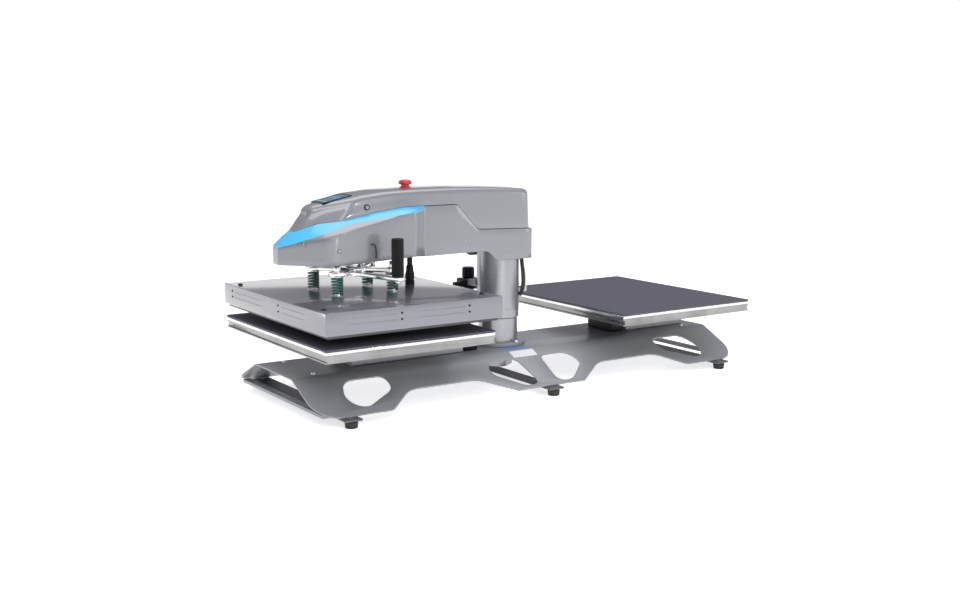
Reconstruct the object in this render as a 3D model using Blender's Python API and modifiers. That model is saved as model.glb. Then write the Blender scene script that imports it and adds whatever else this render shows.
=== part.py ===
"""Pneumatic swing-head heat press with two lower platens. Metres, +Z up.

The origin is on the floor under the column. The base runs along X, the operator stands at -Y.
"""
import math

import bmesh
import bpy
from mathutils import Matrix, Vector

MM = 0.001
GAP = 0.3 * MM            # between touching pieces
RUNNING = 0.4 * MM        # radial clearance of a piece that turns or slides

# Base frame: one folded sheet, open underneath
BASE_HALF_LENGTH = 578 * MM
BASE_TOP_Z = 84.2 * MM
BASE_TOP_HALF_WIDTH = 92.5 * MM
BASE_FOOT_HALF_WIDTH = 219 * MM
BASE_FOOT_Z = 23 * MM
BASE_SHEET = 3 * MM
BASE_CORNER_RADIUS = 58 * MM
ARCH_START_X = 105 * MM
ARCH_END_X = 404 * MM
ARCH_TOP_Y = 168 * MM
END_BAR_INSET = 24 * MM
END_BAR_WIDTH = 18 * MM
END_BAR_REACH = 200 * MM

# Cross bars and feet
CROSS_BAR_X = 509 * MM
CROSS_BAR_WIDTH = 40 * MM
FOOT_Y = 222 * MM
FOOT_RADIUS = 14 * MM
FOOT_HEIGHT = 14 * MM

# Lower stations
STATION_X = 377 * MM
PLATEN_WIDTH = 400 * MM       # along X
PLATEN_DEPTH = 500 * MM       # along Y
PLATEN_BOTTOM_Z = 141.5 * MM
PLATEN_THICKNESS = 24.5 * MM
PLATEN_GROOVE = 9 * MM
PLATEN_GROOVE_DEPTH = 4 * MM
PLATEN_GROOVE_RISE = 8.5 * MM  # groove centre above the platen's underside
PAD_THICKNESS = 4 * MM
PAD_OVERHANG = 1.5 * MM
PEDESTAL_ENDS = {"left": (-420 * MM, -132 * MM), "right": (352 * MM, 540 * MM)}
PEDESTAL_WIDTH = 110 * MM
PEDESTAL_WALL = 6 * MM
CLAMP_ENDS = {"left": (-124 * MM, -88 * MM), "right": (310 * MM, 344 * MM)}
CLAMP_WIDTH = 96 * MM

# Column
POST_RADIUS = 46.5 * MM
SLEEVE_RADIUS = 50 * MM
SLEEVE_BORE = 33 * MM
SHAFT_RADIUS = 27 * MM
POST_SHOULDER_Z = 148.8 * MM
SLEEVE_BOTTOM_Z = 149.3 * MM
FLANGE_RADIUS = 64 * MM
FLANGE_THICKNESS = 8 * MM
BUSHING_HEIGHT = 24 * MM
BOSS_RADIUS = 42 * MM
BOSS_HEIGHT = BASE_TOP_Z - 50.2 * MM
NUT_RADIUS = 30 * MM
NUT_HEIGHT = 14 * MM

# Head
HEAD_REAR_X = 66 * MM
ARM_HALF_WIDTH = SLEEVE_RADIUS + 12 * MM
COVER_STEP = 8 * MM           # upper cover's rear end stands back from the lower cover's
COVER_SIDE_STEP = 2 * MM
COVER_WALL = 2.5 * MM
PARTING_GAP = 0.8 * MM
NOSE_X = -566 * MM
POD_HALF_WIDTH = 101 * MM
ROOF_Z = 460 * MM
FRAME_BOTTOM_Z = 322 * MM
FRAME_HEIGHT = 52 * MM
FRAME_HALF_WIDTH = 42 * MM
FRAME_WALL = 6 * MM
FRAME_FRONT_X = -440 * MM
FRAME_REAR_X = 44 * MM

# Press drive
PRESS_X = -384 * MM
STROKE = 19.2 * MM
CYLINDER_RADIUS = 38 * MM
CYLINDER_TOP_Z = 436 * MM
ROD_RADIUS = 10 * MM
ROD_NUT_HEIGHT = 14 * MM
PRESS_PLATE_BOTTOM_Z = 284.5 * MM
PRESS_PLATE_THICKNESS = 8 * MM
SPRING_DX = 67 * MM
SPRING_DY = 57 * MM
SPRING_RADIUS = 13 * MM
SPRING_WIRE = 2.2 * MM
SPRING_TURNS = 4
SPRING_POINTS_PER_TURN = 8
SPRING_BOLT_RADIUS = 7 * MM
GUIDE_X = -344 * MM
GUIDE_Y = 34 * MM
GUIDE_RADIUS = 9 * MM

# Heat platen
HEAT_CENTRE_X = -370 * MM
HEAT_WIDTH = 416 * MM
HEAT_DEPTH = 510 * MM
HEAT_HOUSING_BOTTOM_Z = 196.5 * MM
HEAT_HOUSING_TOP_Z = 242.4 * MM
HEAT_HOUSING_WALL = 2.5 * MM
HEAT_FACE_Z = 190 * MM
HEAT_FACE_INSET = 7 * MM
HEAT_PLATE_THICKNESS = 24 * MM

# Handle
GRIP_X = -351 * MM
GRIP_Y = -140 * MM
GRIP_BOTTOM_Z = 284.5 * MM
GRIP_TOP_Z = 366 * MM
GRIP_RADIUS = 13 * MM
HANDLE_BAR = 8 * MM
HANDLE_BAR_WIDTH = 26 * MM

# Controls
ESTOP_X = -250 * MM
ESTOP_TRAVEL = 4 * MM
ESTOP_NECK_RADIUS = 11 * MM
DISPLAY_LENGTH = 72 * MM
DISPLAY_WIDTH = 60 * MM
DISPLAY_REAR_X = -396 * MM

# Cable and hose
CABLE_X = -240 * MM
CABLE_RADIUS = 6 * MM
CABLE_TOP_Z = 356 * MM
GLAND_RADIUS = 10.5 * MM
GLAND_HEIGHT = 44 * MM
HOSE_RADIUS = 5 * MM
AIR_TUBE_RADIUS = 3 * MM
PORT_Z = 205 * MM

# Regulator, carried by the sleeve
REGULATOR_X = -18 * MM
REGULATOR_Y = 100 * MM
REGULATOR_BODY_Z = 207 * MM
STRAP_BOTTOM_Z = 221 * MM
STRAP_HEIGHT = 16 * MM
REGULATOR_BODY = 36 * MM
KNOB_RADIUS = 15 * MM

PARTS = bpy.data.collections.new("heat_press")
CUTTERS = bpy.data.collections.new("cutters")


# ---------------------------------------------------------------- helpers
def clear_scene():
    for thing in list(bpy.data.objects):
        bpy.data.objects.remove(thing, do_unlink=True)
    bpy.context.scene.collection.children.link(PARTS)
    bpy.context.scene.collection.children.link(CUTTERS)


def material(name, colour, roughness, metallic):
    finish = bpy.data.materials.new(name)
    finish.use_nodes = True
    shader = finish.node_tree.nodes["Principled BSDF"]
    shader.inputs["Base Color"].default_value = (*colour, 1.0)
    shader.inputs["Roughness"].default_value = roughness
    shader.inputs["Metallic"].default_value = metallic
    return finish


def move_to(thing, collection):
    for holder in list(thing.users_collection):
        holder.objects.unlink(thing)
    collection.objects.link(thing)


def adopt(thing, name, finish, parent=None):
    """Name a piece, give it its own copy of a finish and hang it on its joint's empty."""
    thing.name = name
    thing.data.name = name
    own = finish.copy()
    own.name = name + "_finish"
    thing.data.materials.clear()
    thing.data.materials.append(own)
    move_to(thing, PARTS)
    if parent is not None:
        thing.parent = parent
        thing.matrix_parent_inverse = parent.matrix_world.inverted()
    return thing


def empty(name, location, parent=None):
    axis = bpy.data.objects.new(name, None)
    axis.empty_display_size = 0.05
    PARTS.objects.link(axis)
    if parent is not None:
        axis.parent = parent
        axis.matrix_parent_inverse = parent.matrix_world.inverted()
    axis.location = location
    bpy.context.view_layer.update()
    return axis


def new_mesh(build):
    """A mesh object whose bmesh is filled in by a function."""
    mesh = bpy.data.meshes.new("shape")
    shape = bmesh.new()
    build(shape)
    shape.to_mesh(mesh)
    shape.free()
    thing = bpy.data.objects.new("shape", mesh)
    PARTS.objects.link(thing)
    return thing


def bevel(thing, width, segments=2, angle=40.0):
    rounding = thing.modifiers.new("edge_rounding", "BEVEL")
    rounding.width = width
    rounding.segments = segments
    rounding.limit_method = "ANGLE"
    rounding.angle_limit = math.radians(angle)
    return thing


def box(low, high, rounding=0.0, segments=1):
    """A box between two corners, with rounded edges where asked."""
    centre = [(a + b) / 2 for a, b in zip(low, high)]
    bpy.ops.mesh.primitive_cube_add(size=1.0, location=centre)
    thing = bpy.context.object
    thing.scale = [b - a for a, b in zip(low, high)]
    bpy.ops.object.transform_apply(location=False, rotation=False, scale=True)
    if rounding > 0.0:
        bevel(thing, rounding, segments)
    return thing


def cylinder(centre, radius, height, vertices=32, rotation=(0.0, 0.0, 0.0), rounding=0.0):
    bpy.ops.mesh.primitive_cylinder_add(
        vertices=vertices, radius=radius, depth=height, location=centre, rotation=rotation)
    thing = bpy.context.object
    if rounding > 0.0:
        bevel(thing, rounding, 1, 60.0)
    thing.data.shade_smooth()
    thing.data.set_sharp_from_angle(angle=math.radians(35))
    return thing


def turned(profile, location, steps=32, closed=False):
    """A turned piece. The profile runs down the outer side, as (radius, height) points."""
    def build(shape):
        points = [shape.verts.new((radius, 0.0, height)) for radius, height in profile]
        for first, second in zip(points, points[1:]):
            shape.edges.new((first, second))
        if closed:
            shape.edges.new((points[-1], points[0]))
    thing = new_mesh(build)
    thing.location = location
    screw = thing.modifiers.new("turning", "SCREW")
    screw.axis = "Z"
    screw.angle = math.tau
    screw.steps = steps
    screw.render_steps = steps
    screw.use_merge_vertices = True
    screw.merge_threshold = 0.00001
    return thing


def ring(inner, outer, bottom, top, location, steps=32):
    return turned([(inner, top), (outer, top), (outer, bottom), (inner, bottom)],
                  location, steps, closed=True)


def tube(points, radius, resolution=2):
    """A cable or rail: a POLY curve with a round bevel and filled caps."""
    curve = bpy.data.curves.new("route", "CURVE")
    curve.dimensions = "3D"
    curve.bevel_depth = radius
    curve.bevel_resolution = resolution
    curve.use_fill_caps = True
    spline = curve.splines.new("POLY")
    spline.points.add(len(points) - 1)
    for place, point in zip(spline.points, points):
        place.co = (*point, 1.0)
    thing = bpy.data.objects.new("route", curve)
    PARTS.objects.link(thing)
    return thing


def smooth_route(knots, per_span):
    """Points on a smooth curve through hand-chosen knots (Catmull-Rom)."""
    first = 2 * Vector(knots[0]) - Vector(knots[1])
    last = 2 * Vector(knots[-1]) - Vector(knots[-2])
    chain = [first, *[Vector(knot) for knot in knots], last]
    route = []
    for index in range(1, len(chain) - 2):
        a, b, c, d = chain[index - 1:index + 3]
        for step in range(per_span):
            t = step / per_span
            route.append(0.5 * (2 * b + (c - a) * t + (2 * a - 5 * b + 4 * c - d) * t * t
                                + (3 * b - a - 3 * c + d) * t ** 3))
    route.append(Vector(knots[-1]))
    return route


def rounded(corners, segments=5):
    """Points of an outline whose corners are (x, y, radius); a radius of 0 stays sharp."""
    points = []
    count = len(corners)
    for index, (x, y, radius) in enumerate(corners):
        corner = Vector((x, y))
        if radius == 0.0:
            points.append(corner)
            continue
        before = Vector(corners[index - 1][:2]) - corner
        after = Vector(corners[(index + 1) % count][:2]) - corner
        half_angle = before.angle(after) / 2
        reach = radius / math.tan(half_angle)
        start = corner + before.normalized() * reach
        bisector = (before.normalized() + after.normalized()).normalized()
        centre = corner + bisector * (radius / math.sin(half_angle))
        spoke = start - centre
        sweep = (math.pi - 2 * half_angle) * (1 if before.cross(after) < 0 else -1)
        for step in range(segments + 1):
            turn = Matrix.Rotation(sweep * step / segments, 2)
            points.append(centre + turn @ spoke)
    return points


def plate(outline, bottom, top):
    """A flat plate: a filled 2D curve with an extrude, made a mesh."""
    curve = bpy.data.curves.new("outline", "CURVE")
    curve.dimensions = "2D"
    curve.fill_mode = "BOTH"
    curve.extrude = (top - bottom) / 2
    spline = curve.splines.new("POLY")
    spline.points.add(len(outline) - 1)
    spline.use_cyclic_u = True
    for place, point in zip(spline.points, outline):
        place.co = (point[0], point[1], 0.0, 1.0)
    thing = bpy.data.objects.new("outline", curve)
    PARTS.objects.link(thing)
    thing.location = (0.0, 0.0, (top + bottom) / 2)
    return as_mesh(thing)


def as_mesh(thing):
    """A mesh object in place of a curve, with its caps welded."""
    bpy.context.view_layer.update()
    graph = bpy.context.evaluated_depsgraph_get()
    mesh = bpy.data.meshes.new_from_object(thing.evaluated_get(graph))
    shape = bmesh.new()
    shape.from_mesh(mesh)
    bmesh.ops.remove_doubles(shape, verts=shape.verts, dist=0.00001)
    bmesh.ops.recalc_face_normals(shape, faces=shape.faces)
    shape.to_mesh(mesh)
    shape.free()
    solid = bpy.data.objects.new("solid", mesh)
    PARTS.objects.link(solid)
    solid.matrix_world = thing.matrix_world
    bpy.data.objects.remove(thing, do_unlink=True)
    return solid


def combine(target, tool, operation):
    """Cut a piece with another, or join them, by an exact Boolean."""
    move_to(tool, CUTTERS)
    tool.name = operation.lower() + "_tool"
    tool.hide_render = True
    tool.display_type = "WIRE"
    step = target.modifiers.new(operation.lower(), "BOOLEAN")
    step.operation = operation
    step.solver = "EXACT"
    step.object = tool
    return target


def cut(target, tool):
    return combine(target, tool, "DIFFERENCE")


def join(target, tool):
    return combine(target, tool, "UNION")


def profile_height(knots, x):
    """Height at x on a line through (x, z) knots, which run in rising x."""
    if x <= knots[0][0]:
        return knots[0][1]
    for (x0, z0), (x1, z1) in zip(knots, knots[1:]):
        if x <= x1:
            return z0 + (z1 - z0) * (x - x0) / (x1 - x0)
    return knots[-1][1]


# ---------------------------------------------------------------- base and stations
def make_base_frame(finish):
    """The folded sheet: a flat top and two sloping sides, with its cut-outs."""
    def strip(shape):
        section = [(-BASE_FOOT_HALF_WIDTH, BASE_FOOT_Z), (-BASE_TOP_HALF_WIDTH, BASE_TOP_Z),
                   (BASE_TOP_HALF_WIDTH, BASE_TOP_Z), (BASE_FOOT_HALF_WIDTH, BASE_FOOT_Z)]
        rows = [[shape.verts.new((x, y, z)) for y, z in section]
                for x in (-BASE_HALF_LENGTH, BASE_HALF_LENGTH)]
        for index in range(len(section) - 1):
            shape.faces.new((rows[0][index], rows[1][index], rows[1][index + 1], rows[0][index + 1]))
    sheet = new_mesh(strip)
    bevel(sheet, 6 * MM, 3, 20.0)
    wall = sheet.modifiers.new("sheet", "SOLIDIFY")
    wall.thickness = BASE_SHEET
    wall.offset = -1.0
    wall.use_even_offset = True
    for side_x in (-1, 1):
        for side_y in (-1, 1):
            for corners in base_cut_outs():
                outline = [(side_x * x, side_y * y) for x, y in rounded(corners, 7)]
                cut(sheet, plate(outline, 0.0, BASE_TOP_Z + 20 * MM))
    cut(sheet, cylinder((0, 0, BASE_TOP_Z), SHAFT_RADIUS + GAP, 20 * MM))
    for side in (-1, 1):
        x = side * (BASE_HALF_LENGTH - END_BAR_INSET)
        join(sheet, box((x - END_BAR_WIDTH / 2, -END_BAR_REACH, BASE_FOOT_Z + 3 * MM),
                        (x + END_BAR_WIDTH / 2, END_BAR_REACH, BASE_FOOT_Z + 8 * MM)))
    return adopt(sheet, "base_frame", finish)


def base_cut_outs():
    """Outlines in plan of one quarter of the base: centre hole, end hole, arch, rounded corner."""
    outside = BASE_FOOT_HALF_WIDTH + 40 * MM
    centre_hole = [(34 * MM, 120 * MM, 16 * MM), (110 * MM, 120 * MM, 26 * MM),
                   (128 * MM, 158 * MM, 24 * MM), (62 * MM, 211 * MM, 24 * MM),
                   (24 * MM, 206 * MM, 20 * MM)]
    end_hole = [(378 * MM, 117 * MM, 16 * MM), (474 * MM, 117 * MM, 22 * MM),
                (496 * MM, 170 * MM, 24 * MM), (466 * MM, 206 * MM, 26 * MM),
                (374 * MM, 158 * MM, 26 * MM)]
    arch = [(ARCH_START_X, outside, 0.0), (ARCH_START_X - 30 * MM, BASE_FOOT_HALF_WIDTH + 10 * MM, 0.0),
            (ARCH_START_X + 65 * MM, ARCH_TOP_Y, 70 * MM),
            (ARCH_END_X - 62 * MM, ARCH_TOP_Y, 60 * MM),
            (ARCH_END_X, BASE_FOOT_HALF_WIDTH - 4 * MM, 18 * MM),
            (ARCH_END_X + 40 * MM, BASE_FOOT_HALF_WIDTH + 10 * MM, 0.0),
            (ARCH_END_X + 40 * MM, outside, 0.0)]
    edge_x = BASE_HALF_LENGTH + 20 * MM
    corner = [(BASE_HALF_LENGTH, BASE_FOOT_HALF_WIDTH - BASE_CORNER_RADIUS, 0.0)]
    for step in range(1, 9):
        angle = math.pi / 2 * step / 8
        corner.append((BASE_HALF_LENGTH - BASE_CORNER_RADIUS * (1 - math.cos(angle)),
                       BASE_FOOT_HALF_WIDTH - BASE_CORNER_RADIUS * (1 - math.sin(angle)), 0.0))
    corner += [(BASE_HALF_LENGTH - BASE_CORNER_RADIUS, outside, 0.0), (edge_x, outside, 0.0),
               (edge_x, BASE_FOOT_HALF_WIDTH - BASE_CORNER_RADIUS, 0.0)]
    return [centre_hole, end_hole, arch, corner]


def make_cross_bars(finish):
    top = BASE_FOOT_Z - BASE_SHEET - GAP
    for name, x in (("left", -CROSS_BAR_X), ("centre", 0.0), ("right", CROSS_BAR_X)):
        bar = box((x - CROSS_BAR_WIDTH / 2, -FOOT_Y - 14 * MM, FOOT_HEIGHT + GAP),
                  (x + CROSS_BAR_WIDTH / 2, FOOT_Y + 14 * MM, top), 1.5 * MM)
        adopt(bar, "cross_bar_" + name, finish)


def make_feet(finish):
    profile = [(0.0, FOOT_HEIGHT), (FOOT_RADIUS * 0.8, FOOT_HEIGHT), (FOOT_RADIUS, FOOT_HEIGHT - 4 * MM),
               (FOOT_RADIUS * 0.92, 1.5 * MM), (FOOT_RADIUS * 0.84, 0.0), (0.0, 0.0)]
    for name, x in (("left", -CROSS_BAR_X), ("centre", 0.0), ("right", CROSS_BAR_X)):
        for end, y in (("front", -FOOT_Y), ("rear", FOOT_Y)):
            adopt(turned(profile, (x, y, 0.0), 20), "foot_" + name + "_" + end, finish)


def make_station(name, side, finishes):
    """One lower station: pedestal channel, clamp block, platen and its silicone pad."""
    middle = side * STATION_X
    floor = BASE_TOP_Z + GAP
    ceiling = PLATEN_BOTTOM_Z - GAP
    ends = PEDESTAL_ENDS[name]
    channel = box((ends[0], -PEDESTAL_WIDTH / 2, floor), (ends[1], PEDESTAL_WIDTH / 2, ceiling), 2 * MM)
    cut(channel, box((ends[0] - 10 * MM, -PEDESTAL_WIDTH / 2 + PEDESTAL_WALL, floor + PEDESTAL_WALL),
                     (ends[1] + 10 * MM, PEDESTAL_WIDTH / 2 - PEDESTAL_WALL, ceiling - PEDESTAL_WALL)))
    adopt(channel, "pedestal_" + name, finishes["grey"])
    block = CLAMP_ENDS[name]
    adopt(box((block[0], -CLAMP_WIDTH / 2, floor), (block[1], CLAMP_WIDTH / 2, ceiling), 2 * MM),
          "clamp_block_" + name, finishes["black"])

    half_x = PLATEN_WIDTH / 2
    half_y = PLATEN_DEPTH / 2
    top = PLATEN_BOTTOM_Z + PLATEN_THICKNESS
    platen = box((middle - half_x, -half_y, PLATEN_BOTTOM_Z), (middle + half_x, half_y, top), 1.2 * MM)
    groove_z = PLATEN_BOTTOM_Z + PLATEN_GROOVE_RISE
    for edge in (-1, 1):
        at = middle + edge * half_x
        cut(platen, box((at - PLATEN_GROOVE_DEPTH, -half_y - 5 * MM, groove_z - PLATEN_GROOVE / 2),
                        (at + PLATEN_GROOVE_DEPTH, half_y + 5 * MM, groove_z + PLATEN_GROOVE / 2)))
    adopt(platen, "lower_platen_" + name, finishes["aluminium"])
    over_x = half_x + PAD_OVERHANG * 0.5
    over_y = half_y + PAD_OVERHANG
    pad = box((middle - over_x, -over_y, top + GAP), (middle + over_x, over_y, top + GAP + PAD_THICKNESS),
              1.2 * MM)
    adopt(pad, "pad_" + name, finishes["silicone"])


# ---------------------------------------------------------------- column
def make_column(finishes):
    floor = BASE_TOP_Z + GAP
    flange = ring(POST_RADIUS + GAP, FLANGE_RADIUS, floor, floor + FLANGE_THICKNESS, (0, 0, 0), 40)
    adopt(flange, "column_flange", finishes["steel"])
    shaft_top = FRAME_BOTTOM_Z + 28 * MM
    boss_top = BASE_TOP_Z - BASE_SHEET - GAP
    boss_bottom = boss_top - BOSS_HEIGHT
    stud_end = boss_bottom - NUT_HEIGHT - 2 * MM
    post = turned([(0.0, shaft_top), (SHAFT_RADIUS - 3 * MM, shaft_top), (SHAFT_RADIUS, shaft_top - 3 * MM),
                   (SHAFT_RADIUS, POST_SHOULDER_Z), (POST_RADIUS, POST_SHOULDER_Z), (POST_RADIUS, floor),
                   (SHAFT_RADIUS - GAP, floor), (SHAFT_RADIUS - GAP, stud_end), (0.0, stud_end)],
                  (0, 0, 0), 40)
    adopt(post, "column_post", finishes["satin"])
    boss = cylinder((0, 0, (boss_top + boss_bottom) / 2), BOSS_RADIUS, BOSS_HEIGHT, 36)
    join(boss, cylinder((0, 0, boss_bottom - NUT_HEIGHT / 2 + 0.5 * MM), NUT_RADIUS + 4 * MM,
                        NUT_HEIGHT + 1 * MM, 6))
    cut(boss, cylinder((0, 0, boss_bottom), SHAFT_RADIUS + GAP, 3 * BOSS_HEIGHT, 48))
    adopt(boss, "column_nut", finishes["steel"])
    gland = turned([(0.0, 26 * MM), (5 * MM, 26 * MM), (9 * MM, 16 * MM), (12 * MM, 14 * MM),
                    (12 * MM, 0.0), (0.0, 0.0)], (-24 * MM, 78 * MM, floor), 20)
    adopt(gland, "power_gland", finishes["black"])


def make_sleeve(finishes, parent):
    top = FRAME_BOTTOM_Z - GAP
    sleeve = ring(SLEEVE_BORE, SLEEVE_RADIUS, SLEEVE_BOTTOM_Z, top, (0, 0, 0), 40)
    adopt(sleeve, "swing_sleeve", finishes["satin"], parent)
    for name, bottom in (("lower", SLEEVE_BOTTOM_Z + 4 * MM), ("upper", top - BUSHING_HEIGHT - 4 * MM)):
        bushing = ring(SHAFT_RADIUS + RUNNING, SLEEVE_BORE - GAP, bottom, bottom + BUSHING_HEIGHT,
                       (0, 0, 0), 32)
        adopt(bushing, "bushing_" + name, finishes["bronze"], parent)


# ---------------------------------------------------------------- head
# Side profiles of the head, as (x, z) knots in rising x
SKIRT_PROFILE = [(-573, 311), (-487, 310), (-275, 317), (-238, 312), (-76, 313), (-66, 310), (-58, 303),
                 (-50, 294), (-40, 289), (66, 289)]
BELT_PROFILE = [(-564, 349), (-541, 357), (-501, 367), (-457, 377), (-420, 386), (-380, 394), (-340, 401),
                (-300, 411), (-275, 418), (-238, 423), (-152, 423), (-96, 364), (66, 358)]
LEDGE_PROFILE = [(-528, 379), (-510, 387), (-485, 396), (-431, 403), (-363, 415), (-292, 424), (-238, 424),
                 (-152, 424), (-96, 365), (66, 359)]
ROOF_PROFILE = [(-500, 428), (-489, 431), (-387, 452), (-328, 458), (-250, 460), (-150, 460), (-60, 457),
                (10, 453), (58, 449)]
STRIPE_END_X = -240 * MM


def in_metres(knots):
    return [(x * MM, z * MM) for x, z in knots]


def head_outline(rear, half, nose, pod, blunt, tip_radius, bow_radius, shrink=0.0):
    """Half of a head outline in plan, from the rear end at y=0 round to the nose at y=0."""
    half -= shrink
    pod -= shrink
    nose += shrink
    corners = [(rear - shrink, 0.0, 0.0), (rear - shrink, half, 25 * MM - shrink),
               (-238 * MM, half, 14 * MM), (-275 * MM, half + (pod - half) * 0.7, 14 * MM),
               (nose + 84 * MM, pod, bow_radius), (nose, blunt - shrink / 2, tip_radius - shrink / 2),
               (nose, 0.0, 0.0)]
    points = rounded(corners, 5)
    filled = []
    for first, second in zip(points, points[1:]):
        runs = max(1, round(abs(second.x - first.x) / (22 * MM)))
        for step in range(runs):
            filled.append(first.lerp(second, step / runs))
    filled.append(points[-1])
    return filled


def resample(outline, fractions):
    """Points of an outline at given shares of its length."""
    lengths = [0.0]
    for first, second in zip(outline, outline[1:]):
        lengths.append(lengths[-1] + (second - first).length)
    points = []
    for share in fractions:
        target = share * lengths[-1]
        index = 1
        while index < len(lengths) - 1 and lengths[index] < target:
            index += 1
        span = lengths[index] - lengths[index - 1]
        points.append(outline[index - 1].lerp(outline[index], (target - lengths[index - 1]) / span))
    return points


def inset(outline, distance):
    """Move a half outline inwards along its local normals; its ends stay at y=0."""
    moved = []
    for index, point in enumerate(outline):
        before = outline[max(index - 1, 0)]
        after = outline[min(index + 1, len(outline) - 1)]
        run = (after - before).normalized()
        if index in (0, len(outline) - 1):
            run = Vector((0.0, 1.0)) if index == 0 else Vector((0.0, -1.0))
        moved.append(point + Vector((-run.y, run.x)) * distance)
    return moved


def ringed_shell(rings, keep=None):
    """A mirrored shell from stacked half rings, whose faces point outwards, with a wall."""
    def build(shape):
        rows = [[shape.verts.new(point) for point in level] for level in rings]
        for lower, upper in zip(rows, rows[1:]):
            for index in range(len(lower) - 1):
                if keep is None or keep(lower[index].co, lower[index + 1].co):
                    shape.faces.new((lower[index], lower[index + 1], upper[index + 1], upper[index]))
        loose = [vert for vert in shape.verts if not vert.link_faces]
        bmesh.ops.delete(shape, geom=loose, context="VERTS")
        bmesh.ops.recalc_face_normals(shape, faces=shape.faces)
        probe = max(shape.faces, key=lambda face: face.calc_center_median().y)
        if probe.normal.y < 0.0:
            bmesh.ops.reverse_faces(shape, faces=shape.faces)
    shell = new_mesh(build)
    mirror = shell.modifiers.new("other_side", "MIRROR")
    mirror.use_axis = (False, True, False)
    mirror.merge_threshold = 0.00001
    wall = shell.modifiers.new("wall", "SOLIDIFY")
    wall.thickness = COVER_WALL
    wall.offset = -1.0
    wall.use_even_offset = True
    return shell


def level(outline, profile, lift=0.0):
    return [(point.x, point.y, profile_height(profile, point.x) + lift) for point in outline]


def head_levels():
    """The shared outlines of the covers: lower cover and cabin foot, and their points' shares."""
    lower = head_outline(HEAD_REAR_X, ARM_HALF_WIDTH, NOSE_X, POD_HALF_WIDTH, 14 * MM, 16 * MM, 60 * MM)
    foot = head_outline(HEAD_REAR_X - COVER_STEP, ARM_HALF_WIDTH - COVER_SIDE_STEP, NOSE_X + 38 * MM,
                        ARM_HALF_WIDTH + 3 * MM, 16 * MM, 20 * MM, 50 * MM)
    lengths = [0.0]
    for first, second in zip(lower, lower[1:]):
        lengths.append(lengths[-1] + (second - first).length)
    shares = [length / lengths[-1] for length in lengths]
    return lower, resample(foot, shares), shares


def shoulder_outline(shares, shrink):
    """The cabin's outline at its roof edge, drawn in by the given amount."""
    outline = head_outline(HEAD_REAR_X - COVER_STEP - 2 * MM, ARM_HALF_WIDTH - 4 * MM, NOSE_X + 66 * MM,
                           ARM_HALF_WIDTH - 4 * MM, 20 * MM, 18 * MM, 40 * MM, shrink)
    return resample(outline, shares)


def make_covers(finishes, parent):
    skirt = in_metres(SKIRT_PROFILE)
    belt = in_metres(BELT_PROFILE)
    ledge = in_metres(LEDGE_PROFILE)
    roof = in_metres(ROOF_PROFILE)
    lower, foot, shares = head_levels()

    brim = level(lower, belt, -PARTING_GAP / 2)
    under_stripe = [(x, y, z - COVER_WALL - GAP if x < STRIPE_END_X + 10 * MM else z)
                    for x, y, z in brim]
    lower_cover = ringed_shell([level(lower, skirt), under_stripe])
    adopt(lower_cover, "lower_cover", finishes["silver"], parent)

    stripe_low = level(inset(lower, 0.3 * MM), belt, PARTING_GAP / 2)
    stripe_high = level(foot, ledge, -PARTING_GAP / 2)
    stripe = ringed_shell([stripe_low, stripe_high],
                          lambda a, b: max(a.x, b.x) < STRIPE_END_X)
    adopt(stripe, "accent_stripe", finishes["blue"], parent)

    radius = 14 * MM
    rings = [level(foot, ledge, PARTING_GAP * 2)]
    for angle in (0, 30, 60, 90):
        turn = math.radians(angle)
        near = shoulder_outline(shares, radius * (1 - math.cos(turn)))
        rings.append(level(near, roof, -radius * (1 - math.sin(turn))))
    edge = rings[-1]
    spine_rear = edge[0][0] - 24 * MM
    spine_front = edge[-1][0] + 24 * MM
    spine_x = [spine_rear + (spine_front - spine_rear) * share for share in shares]
    middle = [((point[0] + x) / 2, point[1] / 2) for point, x in zip(edge, spine_x)]
    rings.append([(x, y, profile_height(roof, x)) for x, y in middle])
    rings.append([(x, 0.0, profile_height(roof, x)) for x in spine_x])
    upper_cover = ringed_shell(rings)
    cut(upper_cover, cylinder((ESTOP_X, 0, ROOF_Z), ESTOP_NECK_RADIUS + GAP, 60 * MM, 24))
    adopt(upper_cover, "upper_cover", finishes["silver"], parent)


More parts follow.
